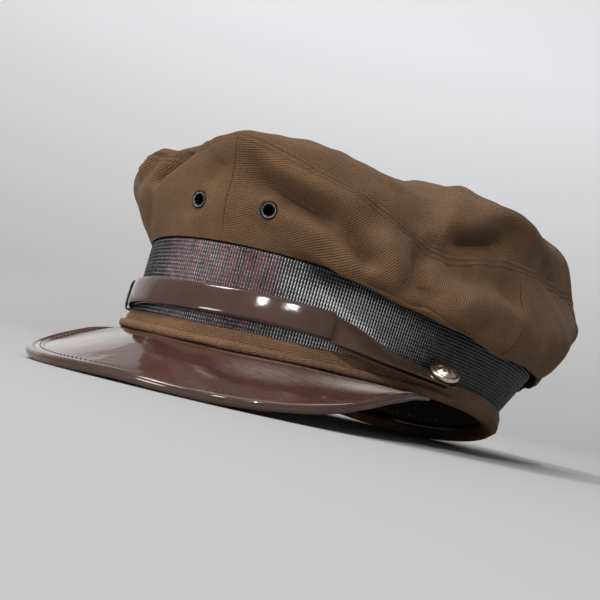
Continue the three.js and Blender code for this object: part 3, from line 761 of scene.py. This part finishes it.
sweat_leather = leather_finish("dark brown sweat leather", (0.032, 0.017, 0.011), 0.5)
tape_finish = leather_finish("black tape", (0.008, 0.008, 0.008), 0.22, 0.4)
red_backing, brown_thread, light_thread, dark_thread = (
    cloth_finish(name, shade)
    for name, shade in (
        ("dark red backing", (0.5, 0.07, 0.11)), ("brown thread", (0.17, 0.10, 0.06)),
        ("light thread", (0.42, 0.31, 0.24)), ("dark thread", (0.09, 0.055, 0.042)),
    )
)


# %% Stitches along any line
def stitch_line(name, path, normal, length=2.6, gap=0.9, radius=0.22):
    """Rows of short threads on a path. Each is a tube of six sides, thin at its two ends, that
    dips into the cloth where the needle went through."""
    walked = walk(path)
    count = int(walked[-1] / (length + gap))
    middle = (np.arange(count) + 0.5) * walked[-1] / count
    along = np.array([-1, -0.72, -0.3, 0.3, 0.72, 1.0])
    thick = np.array([0.3, 0.85, 1, 1, 0.85, 0.3]) * radius
    dip = np.array([-0.9, 0.2, 0.65, 0.65, 0.2, -0.9]) * radius
    s = middle[:, None] + along * length / 2
    centre, up = (np.stack([np.interp(s, walked, v[:, k]) for k in range(3)], -1) for v in (path, normal))
    up = unit(up)
    side = unit(np.cross(np.gradient(centre, axis=1), up))
    turn = np.radians(np.arange(6) * 60)[:, None]
    rim = side[..., None, :] * np.cos(turn) + up[..., None, :] * np.sin(turn)
    centre = centre + dip[:, None] * up
    points = centre[..., None, :] + rim * thick[:, None, None]
    i, j = np.arange(5)[:, None] * 6, np.arange(6)
    k = (j + 1) % 6
    one = np.stack([i + j, i + 6 + j, i + 6 + k, i + k], -1).reshape(-1, 4)
    ends = np.array([[0, 1, 2, 3], [3, 4, 5, 0], [33, 32, 31, 30], [30, 35, 34, 33]])
    one = np.concatenate([one, ends])
    faces = (one[None] + (np.arange(count) * 36)[:, None, None]).reshape(-1, 4)
    return new_piece(name, points, faces)


# %% Sweatband, tape and stay
ring_angles = np.linspace(-180, 180, 420, endpoint=False)[:, None]


def sweatband():
    """The leather ring, with rows close together near its lower edge, where its stitches run."""
    up = np.array([2, 2.3, 2.8, 3.4, 4, 5, 6.2, 6.8, 7.2, 7.6, 8.2, 10, 13, 17, 21, 25, 29, 32, 34.0])
    points = sweatband_face(ring_angles, up[None, :])
    points = points + 0.12 * swell(points, 26, 8)[..., None] * outward(ring_angles)
    corners = grid_uv(np.linspace(0, 570, 421)[:, None], up[None, :])
    return sheet("sweatband_leather", points, 1.0, True, corners)


def tape():
    """The narrow tape inside the lower edge, slightly cushioned across its width."""
    up = np.linspace(3.9, 6.9, 7)
    cushion = 0.18 * (1 - ((up - 5.4) / 1.5) ** 2)
    points = place(ring_angles, -7.25, rim_height(ring_angles) + up)
    return sheet("sweatband_edge_tape", points - cushion[:, None] * outward(ring_angles), 0.6, True)


def stay():
    """The backing panel at the front, held just behind the mesh."""
    at = np.linspace(-20.5, 23.5, 90)[:, None]
    points = place(at, -BAND_INSET - 1.3, np.linspace(9, 36, 34))
    return sheet("front_backing", points + 0.1 * swell(points, 12, 5)[..., None] * outward(at), 0.6)


dress(sweatband(), sweat_leather, "sweat_leather", "sweatband")
dress(tape(), tape_finish, "black_tape", "sweatband_tape")
dress(stay(), red_backing, "red_backing", "front_stay")
inside = np.linspace(-180, 180, 1200)
inside_path = place(inside, -6.75, rim_height(inside) * 0.78 + 8.6)
dress(stitch_line("sweatband_stitches", inside_path, -outward(inside)), light_thread, "sweat_leather")

# %% [markdown]
# ## The lower strip and the piping
# A strip of the same twill, cut on the bias so that it can curve, binds the band's lower edge and
# turns under. Above the joint of the peak it is rolled into a piping. Bias cloth never lies quite
# flat, so both pucker a little. At the back the strip is pressed flat where the cap rests.

# %% Strip
STRIP_OUT = (-9.4, -9.4, -8, -5.4, -3.6, -1.6, -1.6)
STRIP_UP = (3.4, 1.6, -0.1, -0.6, -0.2, 2.0)
strip_top = round_head(table("at up", (-110, 7), (-58, 5.8), (-25, 7.6), (0, 8), (120, 8)), "up")
FLOOR_LEVEL = place(180, -5.4, rim_height(180) - 0.6) @ FLOOR_UP + 0.5


def strip():
    """The strip's section carried round the rim: inner lip, round the bottom, and up the face.
    Points below the table are lifted straight up to it."""
    at = np.linspace(-180, 180, 520, endpoint=False)
    knots = np.arange(7.0)
    run = np.concatenate([np.linspace(0, 5, 26), np.linspace(5.15, 5.85, 8), [5.92, 5.97, 6]])
    out = np.interp(run, knots, STRIP_OUT) - 0.5 * ramp(run, 5.7, 6)
    up = np.stack([np.interp(run, knots, (*STRIP_UP, top)) for top in strip_top(at)])
    points = place(at[:, None], out, rim_height(at)[:, None] + up)
    round_step = np.roll(points, -1, 0) - np.roll(points, 1, 0)
    normal = unit(np.cross(round_step, np.gradient(points, axis=1)))
    relief = (0.16 * swell(points, 24, 6) + 0.13 * swell(points, 8, 7)) * bell(run - 5.5, 0.9)
    points = points + relief[..., None] * normal
    points = points + np.maximum(FLOOR_LEVEL - points @ FLOOR_UP, 0)[..., None] * FLOOR_UP
    corners = grid_uv(np.linspace(0, 588, 521)[:, None], walk(points, 1).mean(0)[None, :])
    return sheet("lower_strip_twill", points, 1.4, True, corners)


dress(strip(), strip_finish, "strip_twill", "lower_strip")


# %% Round tubes, for piping and rolled edges
PIPING_END, ROLLED_EDGE_END = 78, 66  # angles where they stop, left and right


def drawn_in(rings, line):
    """Rings along a line, and at both ends one more that is drawn in to a point and so closes it."""
    cap = np.ones((len(rings), 1, 1))
    return np.concatenate([cap * line[0], rings, cap * line[-1]], 1)


def tube(name, centre, at, out_radius, up_radius, sides, round_mm=4.0):
    """A closed tube: at each step of the centre line, an oval out_radius cos + up_radius sin."""
    turn = np.linspace(2 * np.pi, 0, sides, endpoint=False)[:, None, None]
    out_reach, up_reach = out_radius[:, None] * outward(at), up_radius[:, None] * [0, 0, 1]
    rings = centre + out_reach * np.cos(turn) + up_reach * np.sin(turn)
    points = drawn_in(rings, centre)
    return closed(name, points, grid_uv(walk(points.mean(0)), np.linspace(round_mm, 0, sides + 1)[:, None]))


def piping():
    """The roll over the peak's joint: radius 1.7, thin at its ends, with a pucker at each stitch."""
    at = np.linspace(-PIPING_END, PIPING_END, 420)
    radius = 0.5 + 1.2 * np.minimum(1, (PIPING_END - np.abs(at)) / 8)
    radius *= 1 + 0.05 * np.sin(np.radians(at) * 150) + 0.05 * swell(place(at, 0, 0), 11, 4)
    return tube("piping_roll", place(at, -0.1, rim_height(at) + 1.2), at, 0.68 * radius, radius, 18, 9)


dress(piping(), strip_finish, "strip_twill", "rolled_piping")

# %% [markdown]
# ## The patent peak
# Patent leather is leather under a hard, glossy varnish. Dust and fine scuffs dull it in patches,
# most of all left of the middle and along the joint; the two patches towards the left corner are
# dust and painted reflection. They are worked out for each point and kept as an attribute. The
# edge is a strip of the same leather, rolled over and stitched down.

# %% Patent finish
def patent_finish(name, shade, dusty=True):
    """Brown under varnish. Dust, and painted reflection where the attribute places it, raise the roughness
    and grey the colour.
    """
    material, tree, space = new_finish(name)
    roughness, places = 0.1, ((0.3, tint(shade, 0.8)), (0.75, tint(shade, 1.25)))
    colour = stops(tree, speckle(tree, space, 55, 5, 0.6), *places)
    height = times_plus(tree, speckle(tree, space, 1300, 2, 0.6), 0.04, speckle(tree, space, 70, 2, 0.5))
    if dusty:
        grains = times_plus(tree, speckle(tree, space, 420, 6, 0.75), 0.9)
        drawn_out = node(tree, "VectorMath", {0: space, 1: (160, 900, 400)}, operation="MULTIPLY")
        wiped = node(tree, "Mapping", {"Vector": drawn_out.outputs["Vector"], "Rotation": (0, 0, 0.5)})
        smears = speckle(tree, wiped.outputs["Vector"], 1.0, 4, 0.65)
        dust = times_plus(tree, mark(tree, "dust"), times_plus(tree, smears, 1.1, grains))
        dust = node(tree, "MapRange", {"Value": dust, "From Min": 0.18, "From Max": 1.0}).outputs["Result"]
        colour, roughness = mixed(tree, dust, colour, (0.36, 0.30, 0.27)), times_plus(tree, dust, 0.55, 0.1)
    relief = bumped(tree, height, 0.22, 0.0012)
    return close_finish(material, colour, roughness, {"Specular IOR Level": 0.55, **relief})


peak_patent = patent_finish("brown patent, dusty", (0.075, 0.034, 0.024))
strap_patent = patent_finish("brown patent", (0.08, 0.044, 0.033), dusty=False)

# %% Peak plate
PEAK_SHARE = (0, 0.3, 0.55, 0.75, 0.9, 1)
PEAK_DEEP = (43.6, 45.3, 37.5, 18.8, 7, 2.4)
PEAK_FALL = 29.0
EDGE_STRIP = 5.2  # width of the edging that lies on the plate
# Grey, rough patches: how thick, at what angle and how wide, how far out and how long. The one at
# 24 degrees is dust; the two towards the corner are dust and painted reflection.
DUST_AND_REFLECTION_PATCHES = ((0.4, 24, 13, 14, 12), (0.75, 45, 9, 10, 8), (1.3, 54, 6, 8, 6))


def peak_share(at):
    """How far along the joint an angle is, from 0 in the middle to 1 at the peak's corner."""
    return np.minimum(np.abs(at) / PEAK_HALF_ANGLE, 1)


def peak_depth(at):
    """From the joint to the middle of the rolled edge."""
    return knot_curve(PEAK_SHARE, PEAK_DEEP, peak_share(at))


def on_peak(at, distance, lift=0.0):
    """The peak's top: distance out from the joint along a slope that eases towards the corners."""
    share = peak_share(at)
    fall = np.radians(PEAK_FALL - np.where(at < 0, 40 * share**6, 36 * share**3))
    c, s = np.cos(fall), np.sin(fall)
    return place(at, distance * c + lift * s, rim_height(at) - 1 - distance * s + lift * c)


def plate():
    """The plate from the joint to its edge, with a small step up where the edging lies on it."""
    at = np.linspace(-62.5, 62.5, 300)[:, None]
    deep = peak_depth(at) - 1.2
    share = np.concatenate([np.linspace(1, 0.71, 60), np.linspace(0.7, 0, 40)])
    distance = -1.5 + (deep + 1.5) * share
    inset = deep + 1.2 - distance
    step = 0.55 * ramp(np.minimum(EDGE_STRIP, 0.45 * deep) - inset, -0.25, 0.25)
    lift = step + 0.12 * swell(on_peak(at, distance), 38, 11) * ramp(inset, 0, 6)
    dust = 0.03 + 0.35 * bell(distance - 1.5, 0.7)
    # The patches add dust, and towards the corner painted reflection.
    for strength, middle, wide, out, long in DUST_AND_REFLECTION_PATCHES:
        dust = dust + strength * bell(at - middle, wide) * bell(distance - out, long)
    return sheet("peak_plate", on_peak(at, distance, lift), 1.9, dust=dust)


dress(plate(), peak_patent, "patent", "peak")

# %% Rolled edge and its stitches
def rolled_edge():
    """A round tube along the peak's edge, thin at the corners."""
    at = np.linspace(-ROLLED_EDGE_END, ROLLED_EDGE_END, 500)
    radius = BINDING_RADIUS * np.minimum(1, 0.4 + (ROLLED_EDGE_END - np.abs(at)) / 20)
    radius = radius * (1 + 0.02 * swell(place(at, 0, 0), 9, 12))
    return tube("peak_rolled_edge", on_peak(at, peak_depth(at)) - [0, 0, 1.0], at, radius, radius, 24)


edge_at = np.linspace(-58, 58, 900)
edge_distance = peak_depth(edge_at) - np.minimum(3.6, 0.35 * peak_depth(edge_at))
edge_path, edge_above = (on_peak(edge_at, edge_distance, lift) for lift in (0.5, 1.5))
dress(rolled_edge(), strap_patent, "patent", "peak_binding")
stitches = stitch_line("peak_edge_stitches", edge_path, edge_above - edge_path, 1.9, 0.8, 0.17)
dress(stitches, dark_thread, "patent")

# %% [markdown]
# ## The chin strap
# Two patent straps run from the side buttons over the front of the band. The one from the wearer's
# right lies on top, and its cut end curls in. Near that button a black loop holds both. Each is a
# rounded section carried along a path, and it turns where the strap twists to face its button.

# %% Straps
STRAP_WIDTH, STRAP_WALL = 11.5, 1.2
STRAP_LEFT = table(
    "at out up tilt",
    (-36, -1.95, 14.2, 0), (-30, -1.9, 14.6, 0), (0, -1.9, 15, 0), (28, -1.2, 16.1, 5),
    (37, -0.2, 15.6, 14), (44, 1.2, 14.2, 30), (52, 2.3, 12, 50), (60, 2.7, 10.9, 60),
    (68, 2.8, 10.9, 60), (73, 2.8, 11.2, 57),
)
STRAP_RIGHT = table(
    "at out up tilt",
    (-97, -0.4, 18.7, 0), (-84, -0.6, 18.6, 0), (-76, -0.7, 17.6, 0), (-68, -1, 16, 0),
    (-56, -1.4, 14.6, 0), (-48, -1.4, 13.9, 0), (-43, -1.4, 13.8, 0), (-36, 0.3, 13.9, 3),
    (-30, 1.1, 14.2, 6), (0, 1.6, 14.6, 12), (18, 1.8, 16, 14), (37.5, 1.8, 16.6, 14),
)


def strap(name, rows, start, end, corners, sink):
    """A flat section with rounded edges carried along the table's line, sunk by (out, up) at each
    angle. Near each end the width is that of a rounded corner: half width times
    sqrt(1 - (1 - d / r)^2) within r of the end."""
    tips = np.array([0, 0.002, 0.005, 0.01, 0.016])
    share = np.concatenate([tips, np.linspace(0.024, 0.976, 260), 1 - tips[::-1]])
    at = start + (end - start) * share
    out, up, tilt = (knot_curve(rows["at"], rows[c], at) for c in ("out", "up", "tilt"))
    line = place(at, out + sink(at)[0], up + sink(at)[1])
    walked, half = walk(line), STRAP_WIDTH / 2
    for distance, corner in ((walked, corners[0]), (walked[-1] - walked, corners[1])):
        near = np.clip(1 - distance / corner, 0, 1)
        half = half - min(corner, STRAP_WIDTH / 2) * (1 - np.sqrt(1 - near**2))
    c, s = np.cos(np.radians(tilt))[:, None], np.sin(np.radians(tilt))[:, None]
    face, rise = outward(at) * c + [0, 0, 1] * s, [0, 0, 1] * c - outward(at) * s
    turn = np.linspace(0, 2 * np.pi, 36, endpoint=False)[:, None]
    across, through = squared(turn, (0.35, 0.5))
    height = through * STRAP_WALL / 2 + 0.25 * (1 - across**2)
    rings = line + rise * (across * half)[..., None] + face * height[..., None]
    return closed(name, drawn_in(rings, line))


def curl(at):
    """The free end of the outer strap curls in over its last few degrees."""
    return -0.1 * np.maximum(at - 34.5, 0) ** 2, 0


inner = strap("strap_from_left", STRAP_LEFT, -36, 73, (1, 5.7), lambda at: (0, 0))
outer = strap("strap_from_right", STRAP_RIGHT, -97, 37.5, (5.7, 0.5), curl)
folded_under = strap("strap_turned_back", STRAP_LEFT, 40, 71, (0.6, 5), lambda at: (-1.5, -1.7))
dress(inner, strap_patent, "patent", "strap_left")
dress(outer, strap_patent, "patent", "strap_right")
dress(folded_under, strap_patent, "patent")

# %% Keeper
KEEPER_AT, KEEPER_HALF_LONG = -46, 2.1
KEEPER_INNER, KEEPER_OUTER, KEEPER_LOW, KEEPER_HIGH = -3.0, 1.1, 7.1, 20.6


def keeper():
    """The loop: a rounded rectangle round the strap. Its wall is 0.6 thick behind and at both ends
    and 1.5 in front, where it bulges."""
    far, high = squared(np.linspace(2 * np.pi, 0, 64, endpoint=False)[:, None], (0.25, 0.25))
    along = np.array([-1, -0.9, 0, 0.9, 1, 1, 0.9, 0, -0.9, -1, -1])
    inset = np.array([0.2, 0.05, 0, 0.05, 0.2, 0.4, 0.55, 0.6, 0.55, 0.4, 0.2])
    front = np.maximum(far, 0)
    out = (KEEPER_INNER + KEEPER_OUTER) / 2 - 0.9 * front * high**4 * (inset < 0.3)
    out = out + far * ((KEEPER_OUTER - KEEPER_INNER) / 2 - inset * (1 + 1.5 * front * (inset > 0.3)))
    up = (KEEPER_LOW + KEEPER_HIGH) / 2 + high * ((KEEPER_HIGH - KEEPER_LOW) / 2 - inset)
    return closed("keeper_loop", place(KEEPER_AT + along * KEEPER_HALF_LONG, out, up))


dress(keeper(), tape_finish, "patent", "strap_keeper")

# %% [markdown]
# ## Buttons and eyelets
# Both are turned shapes: a profile carried round an axis that follows the surface below. The
# button is a gilt dome with a beaded rim and a plain low rosette. The eyelet is a black ring
# pressed through the cloth, slightly dented all round.

# %% Turned pieces
def gilt_finish():
    """Gilt metal: warm, polished, with the tone and the gloss broken up by handling."""
    material, tree, space = new_finish("gilt metal")
    metal_tone = speckle(tree, space, 600, 5, 0.65)
    colour = stops(tree, metal_tone, (0.3, (0.7, 0.52, 0.3)), (0.62, (1.0, 0.9, 0.72)))
    sockets = {"Metallic": 1.0, **bumped(tree, metal_tone, 0.2, 0.0003)}
    return close_finish(material, colour, times_plus(tree, metal_tone, 0.2, 0.2), sockets)


def enamel_finish():
    """Black enamel with random grey flecks, and a painted highlight ring in light grey where the point
    attribute is high.
    """
    material, tree, space = new_finish("black enamel")
    metal_tone = times_plus(tree, speckle(tree, space, 1500, 3, 0.7), 1.15)
    # The point attribute adds the painted highlight ring.
    metal_tone = times_plus(tree, mark(tree, "rubbed"), metal_tone)
    colour = stops(tree, metal_tone, (0.3, (0.004, 0.004, 0.005)), (0.8, (0.55, 0.55, 0.56)))
    return close_finish(material, colour, 0.24, {"Specular IOR Level": 0.2})


def turned(name, radius, height, seat, axis, ripple, **marks):
    """A profile (radius, height) carried round an axis that stands on a seat. ripple(angle, radius)
    raises the surface along the axis."""
    axis = unit(axis)
    first = unit(np.cross(axis, [0.0, 0, 1]))
    turn = np.linspace(0, 2 * np.pi, 96, endpoint=False)[:, None]
    reach = np.cos(turn) * first + np.sin(turn) * np.cross(axis, first)
    rise = height + ripple(turn, radius)
    return closed(name, seat + radius[:, None] * reach[:, None] + rise[..., None] * axis, **marks)


gilt, eyelet_black = gilt_finish(), enamel_finish()

# %% Buttons
BUTTON_RADIUS = 6.6
BUTTON = BUTTON_RADIUS * table(
    "radius height",
    (0, 0), (0.5, 0), (0.86, 0), (0.97, 0.03), (1, 0.08), (1, 0.2), (0.97, 0.27), (0.92, 0.31),
    (0.88, 0.33), (0.85, 0.31), (0.8, 0.35), (0.72, 0.43), (0.62, 0.5), (0.5, 0.55),
    (0.38, 0.59), (0.26, 0.615), (0.14, 0.63), (0.05, 0.638), (0, 0.64),
).view(float).reshape(-1, 2)
# Angle, distance out, height, tilt up, and turn to the back.
BUTTON_PLACES = (("left", 68.3, 4.5, 12.7, 53, -28), ("right", -91.5, 0.7, 18.7, 0, 0))


def rosette(turn, r):
    """Beads on the rim and eight low petals on the dome."""
    beads = 0.12 * np.cos(40 * turn) * bell(r - 5.95, 0.35)
    return beads + 0.16 * np.cos(8 * turn) * bell(r - 3.2, 1.5) + 0.1 * bell(r - 0.9, 0.4)


for side, at, out, up, tilt, turn in BUTTON_PLACES:
    x, y, _ = outward(at)
    t, lean = np.radians(turn), np.radians(tilt)
    flat = np.array([x * np.cos(t) - y * np.sin(t), x * np.sin(t) + y * np.cos(t), np.tan(lean)])
    piece = turned(f"{side}_button", *BUTTON.T, place(at, out, up), flat, rosette)
    dress(piece, gilt, "button_metal", f"button_{side}")

# %% Eyelets
EYELET = np.array([
    (1.94, -2.8), (3.13, -2.8), (3.13, -2.1), (2.27, -2.1), (2.27, -0.5), (2.81, -0.4), (3.67, -0.2),
    (3.83, 0.05), (3.89, 0.35), (3.73, 0.65), (3.46, 0.8), (3.13, 0.7), (2.81, 0.35), (2.59, 0.3),
    (2.43, 0.5), (2.27, 0.6), (2.11, 0.4), (2, 0), (1.94, -0.9), (1.94, -2.8),
]).T


def crimp(turn, r):
    """Small dents that the setting tool leaves round the inner lip."""
    return 0.2 * np.cos(8 * turn) * bell(r - 2.1, 0.5)


for side, (at, share) in zip(("left", "right"), EYELET_PLACES):
    a, s, far = np.array([[at]]), np.array([[share]]), np.array([[40.0]])
    normal = crown_frame(a, s)[0][0, 0] + [0.16, 0, 0]
    seat = crown_cloth(a, s, far, far)[0, 0]
    # A painted highlight ring round the flange's top, near radius 2.9.
    rubbed = bell(EYELET[0] - 2.9, 0.35) * (EYELET[1] > -0.2)
    piece = turned(f"{side}_eyelet", *EYELET, seat, normal, crimp, rubbed=rubbed)
    dress(piece, eyelet_black, "eyelet_metal", f"eyelet_{side}")

# %% [markdown]
# ## Topstitching on the crown
# Two lines of thread run beside the top seam, one on each side. They hold the turned-in cloth
# flat, and they are what pulls the puckers in.

# %% Topstitch
for name, distance in (("topstitch_upper", STITCH_OFF), ("topstitch_lower", -STITCH_OFF)):
    at = np.linspace(-180, 180, 1500)
    share = SEAM_AT + distance / crown_frame(at, np.full(at.shape, SEAM_AT))[1]
    path = crown_cloth(at, share, np.full(at.shape, STITCH_OFF), np.full(at.shape, 40.0))
    line = stitch_line(name, path, crown_frame(at, share)[0], 2.1, 0.9, 0.2)
    dress(line, brown_thread, "crown_twill")

# %% [markdown]
# ## The table, the backdrop and the light
# The cap rests on a pale table that sweeps up into the backdrop, so that no horizon shows. The key
# light stands high at the front left, with a low one beside it and a wide one overhead. A white
# card is mirrored in the left of the peak, and two small lamps glint on the strap.

# %% Sweep
def sweep():
    """Floor and backdrop in one surface: level, then a quarter circle, then upright."""
    reach, radius, height = 1.1, 0.9, 1.15
    turn = np.linspace(0, np.pi / 2, 24)
    depth = np.concatenate([[-3.0, -1.5, 0], reach + radius * np.sin(turn), [reach + radius]])
    rise = np.concatenate([[0, 0, 0], radius * (1 - np.cos(turn)), [height]])
    c, s = np.cos(CAMERA_AZIMUTH), np.sin(CAMERA_AZIMUTH)
    across = np.linspace(-3.5, 3.5, 12)[:, None, None] * [c, s, 0]
    grid = across + depth[:, None] * [-s, c, 0] + rise[:, None] * [0, 0, 1]
    mesh = bpy.data.meshes.new("sweep")
    mesh.from_pydata(grid.reshape(-1, 3).tolist(), [], grid_faces(12, depth.size).tolist())
    mesh.polygons.foreach_set("use_smooth", np.ones(len(mesh.polygons), bool))
    material, tree, space = new_finish("pale paper")
    # Painted shade: the paper is painted darker towards the floor and lighter up the backdrop.
    climb = times_plus(tree, node(tree, "SeparateXYZ", {0: space}).outputs["Z"], 1.6)
    colour = stops(tree, climb, (0.0, (0.42, 0.415, 0.41)), (1.0, (0.8, 0.8, 0.805)))
    mesh.materials.append(close_finish(material, colour, 0.9))
    add_object("sweep", mesh)


CAMERA_AZIMUTH, CAMERA_ELEVATION, CAMERA_ROLL = np.radians([32.33, -7.79, 15.95])
sweep()

# %% Lights and world
AIM = np.array([0, 0, 0.05])


def direction(azimuth, elevation):
    """The unit direction that many radians round from the front, and up."""
    level = np.cos(elevation)
    return np.array([np.sin(azimuth) * level, -np.cos(azimuth) * level, np.sin(elevation)])


def soft_light(name, spot, aim, width, height, power):
    """A rectangular lamp at a spot, turned to face the aim."""
    lamp = bpy.data.lights.new(name, "AREA")
    lamp.shape, lamp.size, lamp.size_y, lamp.energy = "RECTANGLE", width, height, power
    z = unit(spot - aim)
    x = unit(np.cross([0, 0, 1], z))
    facing = Matrix(np.stack([x, np.cross(z, x), z], 1).tolist()).to_quaternion()
    add_object(name, lamp).matrix_world = Matrix.LocRotScale(spot, facing, None)


# Round from the front and up in degrees, distance and size in metres, and power.
for name, azimuth, elevation, distance, *size in (
    ("key softbox", -46, 54, 2.2, 0.5, 0.5, 18.5),
    ("overhead softbox", 0, 84, 2.0, 1.4, 1.4, 7),
    ("front softbox", -24, 8, 2.0, 0.5, 0.5, 12),
    ("white card", -109, 24, 1.3, 1.08, 1.0, 1.3),
    ("small window", 7, 44, 1.6, 0.13, 0.2, 4),
    ("strip lamp", 30, 45, 1.6, 0.06, 0.16, 7.5),
):
    soft_light(name, AIM + distance * direction(*np.radians([azimuth, elevation])), AIM, *size)
soft_light("backdrop wash", np.array([-0.4, 0.9, 2.4]), np.array([-0.6, 2.0, 0.7]), 1.6, 0.8, 25)
world = bpy.data.worlds.new("studio")
bpy.context.scene.world = world
world.use_nodes = True
background = world.node_tree.nodes["Background"].inputs
background["Color"].default_value, background["Strength"].default_value = (0.9, 0.93, 1.0, 1), 0.2
bpy.context.scene.view_settings.view_transform = "Standard"
bpy.context.scene.view_settings.look = "None"

# %% [markdown]
# ## The camera
# The camera looks at the cap as the photograph does: from its front left, level with the rim, and
# a little rolled. Its place is tipped with the cap, which keeps the photograph's outline.

# %% Camera
CAMERA_PLACE = np.array([-6.25, 39.58, 704.6])  # right, up and back from the rim's middle
FOCAL_PIXELS, IMAGE_PIXELS, SENSOR = 1515.8, 600, 36.0

back = direction(CAMERA_AZIMUTH, CAMERA_ELEVATION)
right = np.array([np.cos(CAMERA_AZIMUTH), np.sin(CAMERA_AZIMUTH), 0])
up = np.cross(back, right)
c, s = np.cos(CAMERA_ROLL), np.sin(CAMERA_ROLL)
axes = np.stack([c * right + s * up, c * up - s * right, back])
eye = rested(axes.T @ CAMERA_PLACE)
lens = bpy.data.cameras.new("camera")
lens.sensor_width, lens.lens = SENSOR, SENSOR * FOCAL_PIXELS / IMAGE_PIXELS
lens.clip_start, lens.clip_end = 0.05, 20
camera = add_object("camera", lens)
facing = Matrix(tipped(axes).T.tolist()).to_quaternion()
camera.matrix_world = Matrix.LocRotScale(eye.tolist(), facing, None)
bpy.context.scene.camera = camera
print("eye above the table, mm:", round(eye[2] * 1000, 1))
